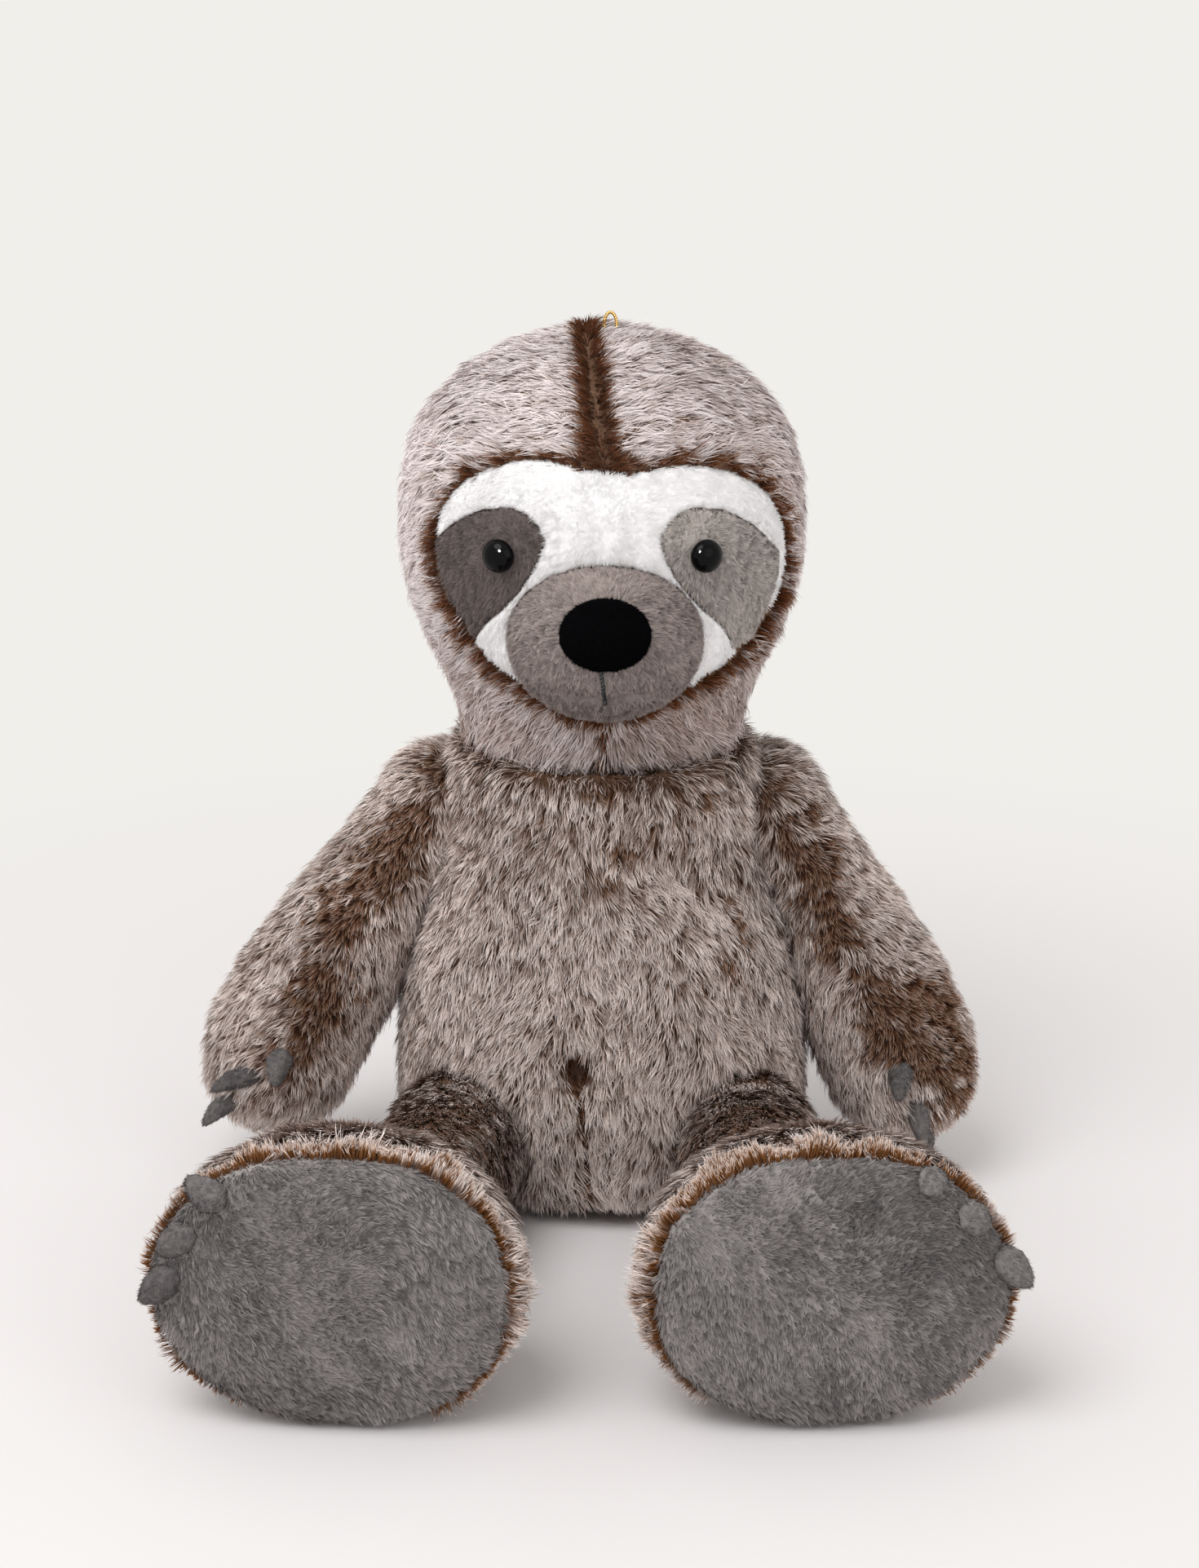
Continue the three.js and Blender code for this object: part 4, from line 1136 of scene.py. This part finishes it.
faceStyle = dict(shortStyle, density=3.4, length=3.2, width=0.44, clump=2.2, gather=0.48, gaps=0.12, gapTone=0.5)
whiteStyle = dict(faceStyle, density=4.4, length=2.6, gather=0.1, gaps=0, sheen=0)
clawStyle = dict(faceStyle, length=1.8, width=0.4, clump=1.5)
velvetStyle = dict(faceStyle, density=4.5, length=1.4, width=0.36, gather=0.15, gaps=0)


# A short pile on the side of a pad that faces away from heart, combed down and away from middle
def growShort(name, pad, body, material, style, heart, middle, tone, lift, seed, covered, shade=None):
    def keep(points, facing):
        return smoothstep(-0.05, 0.2, np.sum(unit(points - np.array(heart)) * facing, axis=1))

    def comb(points, facing):
        return unit(points - np.array(middle)) + np.array([0, 0, -0.4])

    def look(points, facing):
        tones = tone + 0.3 * waves(points, 4, seed + 70) + 0.12 * waves(points, 25, seed + 71)
        # shade adds any painted shade and painted light to the pile's tone
        if shade:
            tones += shade(points)
        lifts = lift + 0.12 * waves(points, 12, seed + 72)
        return 1, lifts, tones, 0

    growPile(name, pad, body, material, style, keep, comb, look, seed, covered)


eyeShape = {
    "radius": 6,
    "dome": 5,
    "rim": 0.9,
    "bevel": 0.3,
    "bevelTop": 0.2,
    "stem": 1.8,
    "depth": 9,
    "rings": 12,
    "steps": 48,
}


# A glossy safety eye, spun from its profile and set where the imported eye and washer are
def makeEye(side):
    washerPoints = readPoints(frame["nodes"]["eye_washer_" + side].data)
    spread, axes = np.linalg.eigh(np.cov((washerPoints - washerPoints.mean(axis=0)).T))
    axis = Vector(axes[:, 0])  # the washer is thinnest along the eye's own axis
    if axis.y > 0:
        axis.negate()
    eyePoints = readPoints(frame["nodes"]["eye_" + side].data)
    top = (eyePoints @ np.array(axis)).max()
    centre = Vector(eyePoints.mean(axis=0))
    radius, dome, rim = eyeShape["radius"], eyeShape["dome"], eyeShape["rim"]
    centre += axis * (top - dome - centre.dot(axis))
    profile = [(0, dome)]
    for ring in range(1, eyeShape["rings"] + 1):
        angle = ring / eyeShape["rings"] * math.pi / 2
        profile.append((radius * math.sin(angle), rim + (dome - rim) * math.cos(angle)))
    profile += [(radius, eyeShape["bevelTop"]), (radius - eyeShape["bevel"], 0), (eyeShape["stem"], 0),
                (eyeShape["stem"], -eyeShape["depth"]), (0, -eyeShape["depth"])]
    bm = bmesh.new()
    verts = [bm.verts.new((r * mm, 0, h * mm)) for r, h in profile]
    edges = [bm.edges.new(pair) for pair in zip(verts[:-1], verts[1:])]
    bmesh.ops.spin(bm, geom=verts + edges, cent=(0, 0, 0), axis=(0, 0, 1), angle=2 * math.pi,
                   steps=eyeShape["steps"], use_merge=True)
    bmesh.ops.remove_doubles(bm, verts=bm.verts, dist=1e-6)
    bmesh.ops.recalc_face_normals(bm, faces=bm.faces)
    turn = axis.to_track_quat("Z", "Y").to_matrix().to_4x4()
    bmesh.ops.transform(bm, matrix=Matrix.Translation(centre * mm) @ turn, verts=bm.verts)
    eye = newPiece("safetyEye_" + side, bm, eyeGloss)
    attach(eye, "head")
    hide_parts("eye_" + side)
    return eye


eyes = {side: makeEye(side) for side in sides}


# Thread of two plies twisted round each other along a path of points
def twistedThread(name, path, plyRadius, pitch, material):
    path = np.array(path)
    lengths = np.concatenate([[0], np.cumsum(np.linalg.norm(np.diff(path, axis=0), axis=1))])
    steps = max(24, int(lengths[-1] / pitch * 10))
    at = np.linspace(0, lengths[-1], steps)
    middle = np.stack([np.interp(at, lengths, path[:, k]) for k in range(3)], axis=1)
    ahead = unit(np.gradient(middle, axis=0))
    side = unit(np.cross(ahead, np.array([0.03, 1.0, 0.02])))
    other = np.cross(ahead, side)
    curve = bpy.data.curves.new(name, "CURVE")
    curve.dimensions = "3D"
    curve.bevel_depth = plyRadius * mm
    curve.bevel_resolution = 2
    curve.use_fill_caps = True
    for ply in (0, 1):
        phase = at / pitch * 2 * math.pi + ply * math.pi
        points = middle + plyRadius * 0.9 * (side * np.cos(phase)[:, None] + other * np.sin(phase)[:, None])
        spline = curve.splines.new("POLY")
        spline.points.add(steps - 1)
        spline.points.foreach_set("co", np.concatenate([points * mm, np.ones((steps, 1))], axis=1).ravel())
    draft = newObject(name + "Draft", curve)
    mesh = bpy.data.meshes.new_from_object(draft.evaluated_get(bpy.context.evaluated_depsgraph_get()))
    bpy.data.objects.remove(draft)
    mesh.name = name
    mesh.materials.clear()
    mesh.materials.append(material)
    mesh.shade_smooth()
    return newObject(name, mesh)


mouthShape = {
    "top": (-0.6, 226),  # X and Z
    "bottom": (1.0, 210.5),
    "stitches": 13,
    "off": 0.9,  # from the muzzle's cloth
    "ply": 0.42,
    "pitch": 3,
}


def makeMouth():
    tree = treeOf(facePads["muzzle"])
    (topX, topZ), (bottomX, bottomZ) = mouthShape["top"], mouthShape["bottom"]
    path = []
    for step in range(mouthShape["stitches"] + 1):
        share = step / mouthShape["stitches"]
        before = Vector((topX + (bottomX - topX) * share, -200, topZ + (bottomZ - topZ) * share))
        hit, normal, face, gap = tree.ray_cast(before * mm, Vector(inward))
        if hit:
            path.append(tuple(hit / mm + normal * mouthShape["off"]))
    mouth = twistedThread("mouthThread", path, mouthShape["ply"], mouthShape["pitch"], blackThread)
    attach(mouth, "head")
    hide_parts("mouth_stitch")


loopShape = {
    "inset": 0.7,
    "halfHigh": 4.6,
    "from": -60,  # degrees
    "sweep": 300,
    "steps": 32,
    "ply": 0.35,
    "pitch": 1.6,
}


def makeLoop():
    low, high = (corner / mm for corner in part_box("hang_loop"))
    middle = (low + high) / 2
    halfWide, halfHigh = (high.x - low.x) / 2 - loopShape["inset"], loopShape["halfHigh"]
    path = []
    for step in range(loopShape["steps"] + 1):
        angle = math.radians(loopShape["from"] + loopShape["sweep"] * step / loopShape["steps"])
        path.append((middle.x + halfWide * math.cos(angle), middle.y,
                     high.z - loopShape["inset"] - halfHigh + halfHigh * math.sin(angle)))
    loop = twistedThread("hangLoop", path, loopShape["ply"], loopShape["pitch"], goldThread)
    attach(loop, "head")
    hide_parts("hang_loop")


makeMouth()
makeLoop()
headHeart = (0, -5, 235)


# Painted shade on the muzzle's pile under the nose and toward the toy's left, and painted light over the nose
def muzzlePaintedShade(points):
    x, y, z = points.T
    shade = 0.4 * smoothstep(224, 208, z) + 0.15 * smoothstep(8, 30, x)
    return shade - 0.15 * smoothstep(240, 250, z)


def dressFace(name, key, material, style, heart, middle, tone, lift, seed, over, shade=None):
    covered = coveredBy(facePads[key], over, 3)
    growShort(name, facePads[key], "head", material, style, heart, middle, tone, lift, seed, covered, shade)


dressFace("facePile", "face", whitePile, whiteStyle, headHeart, (2, -60, 262), 0, 0.3, 41,
          [facePads["patch_left"], facePads["patch_right"], facePads["muzzle"]])
dressFace("patchPile_right", "patch_right", patchDarkPile, faceStyle, headHeart,
          (-30, -60, 262), 0.3, 0.42, 42, [eyes["right"], facePads["muzzle"]])
dressFace("patchPile_left", "patch_left", patchPile, faceStyle, headHeart,
          (32, -60, 262), 0.3, 0.42, 43, [eyes["left"], facePads["muzzle"]])
dressFace("muzzlePile", "muzzle", muzzlePile, faceStyle, (1, -50, 228),
          (1, -98, 238), 0.3, 0.42, 44, [facePads["nose"]], muzzlePaintedShade)
dressFace("noseVelvet", "nose", velvetPile, velvetStyle, (1, -80, 236),
          (1, -100, 250), 0.3, 0.6, 45, [])
print("face dressed")

for number, (key, pad) in enumerate(sorted(clawPads.items())):
    kind, side, place = key.split("_")
    body = ("arm_" if kind == "hand" else "foot_") + side
    heart = readPoints(pad.data).mean(axis=0)
    toRoot = unit(np.array(jointAt[body]) - heart)
    material = paleClawPile if key.startswith("toe_left") else clawPile
    growShort(f"{kind}ClawPile_{side}_{place}", pad, body, material, clawStyle, heart,
              heart + toRoot * 30, 0.3, 0.35, 60 + number, None)
print("claws dressed")
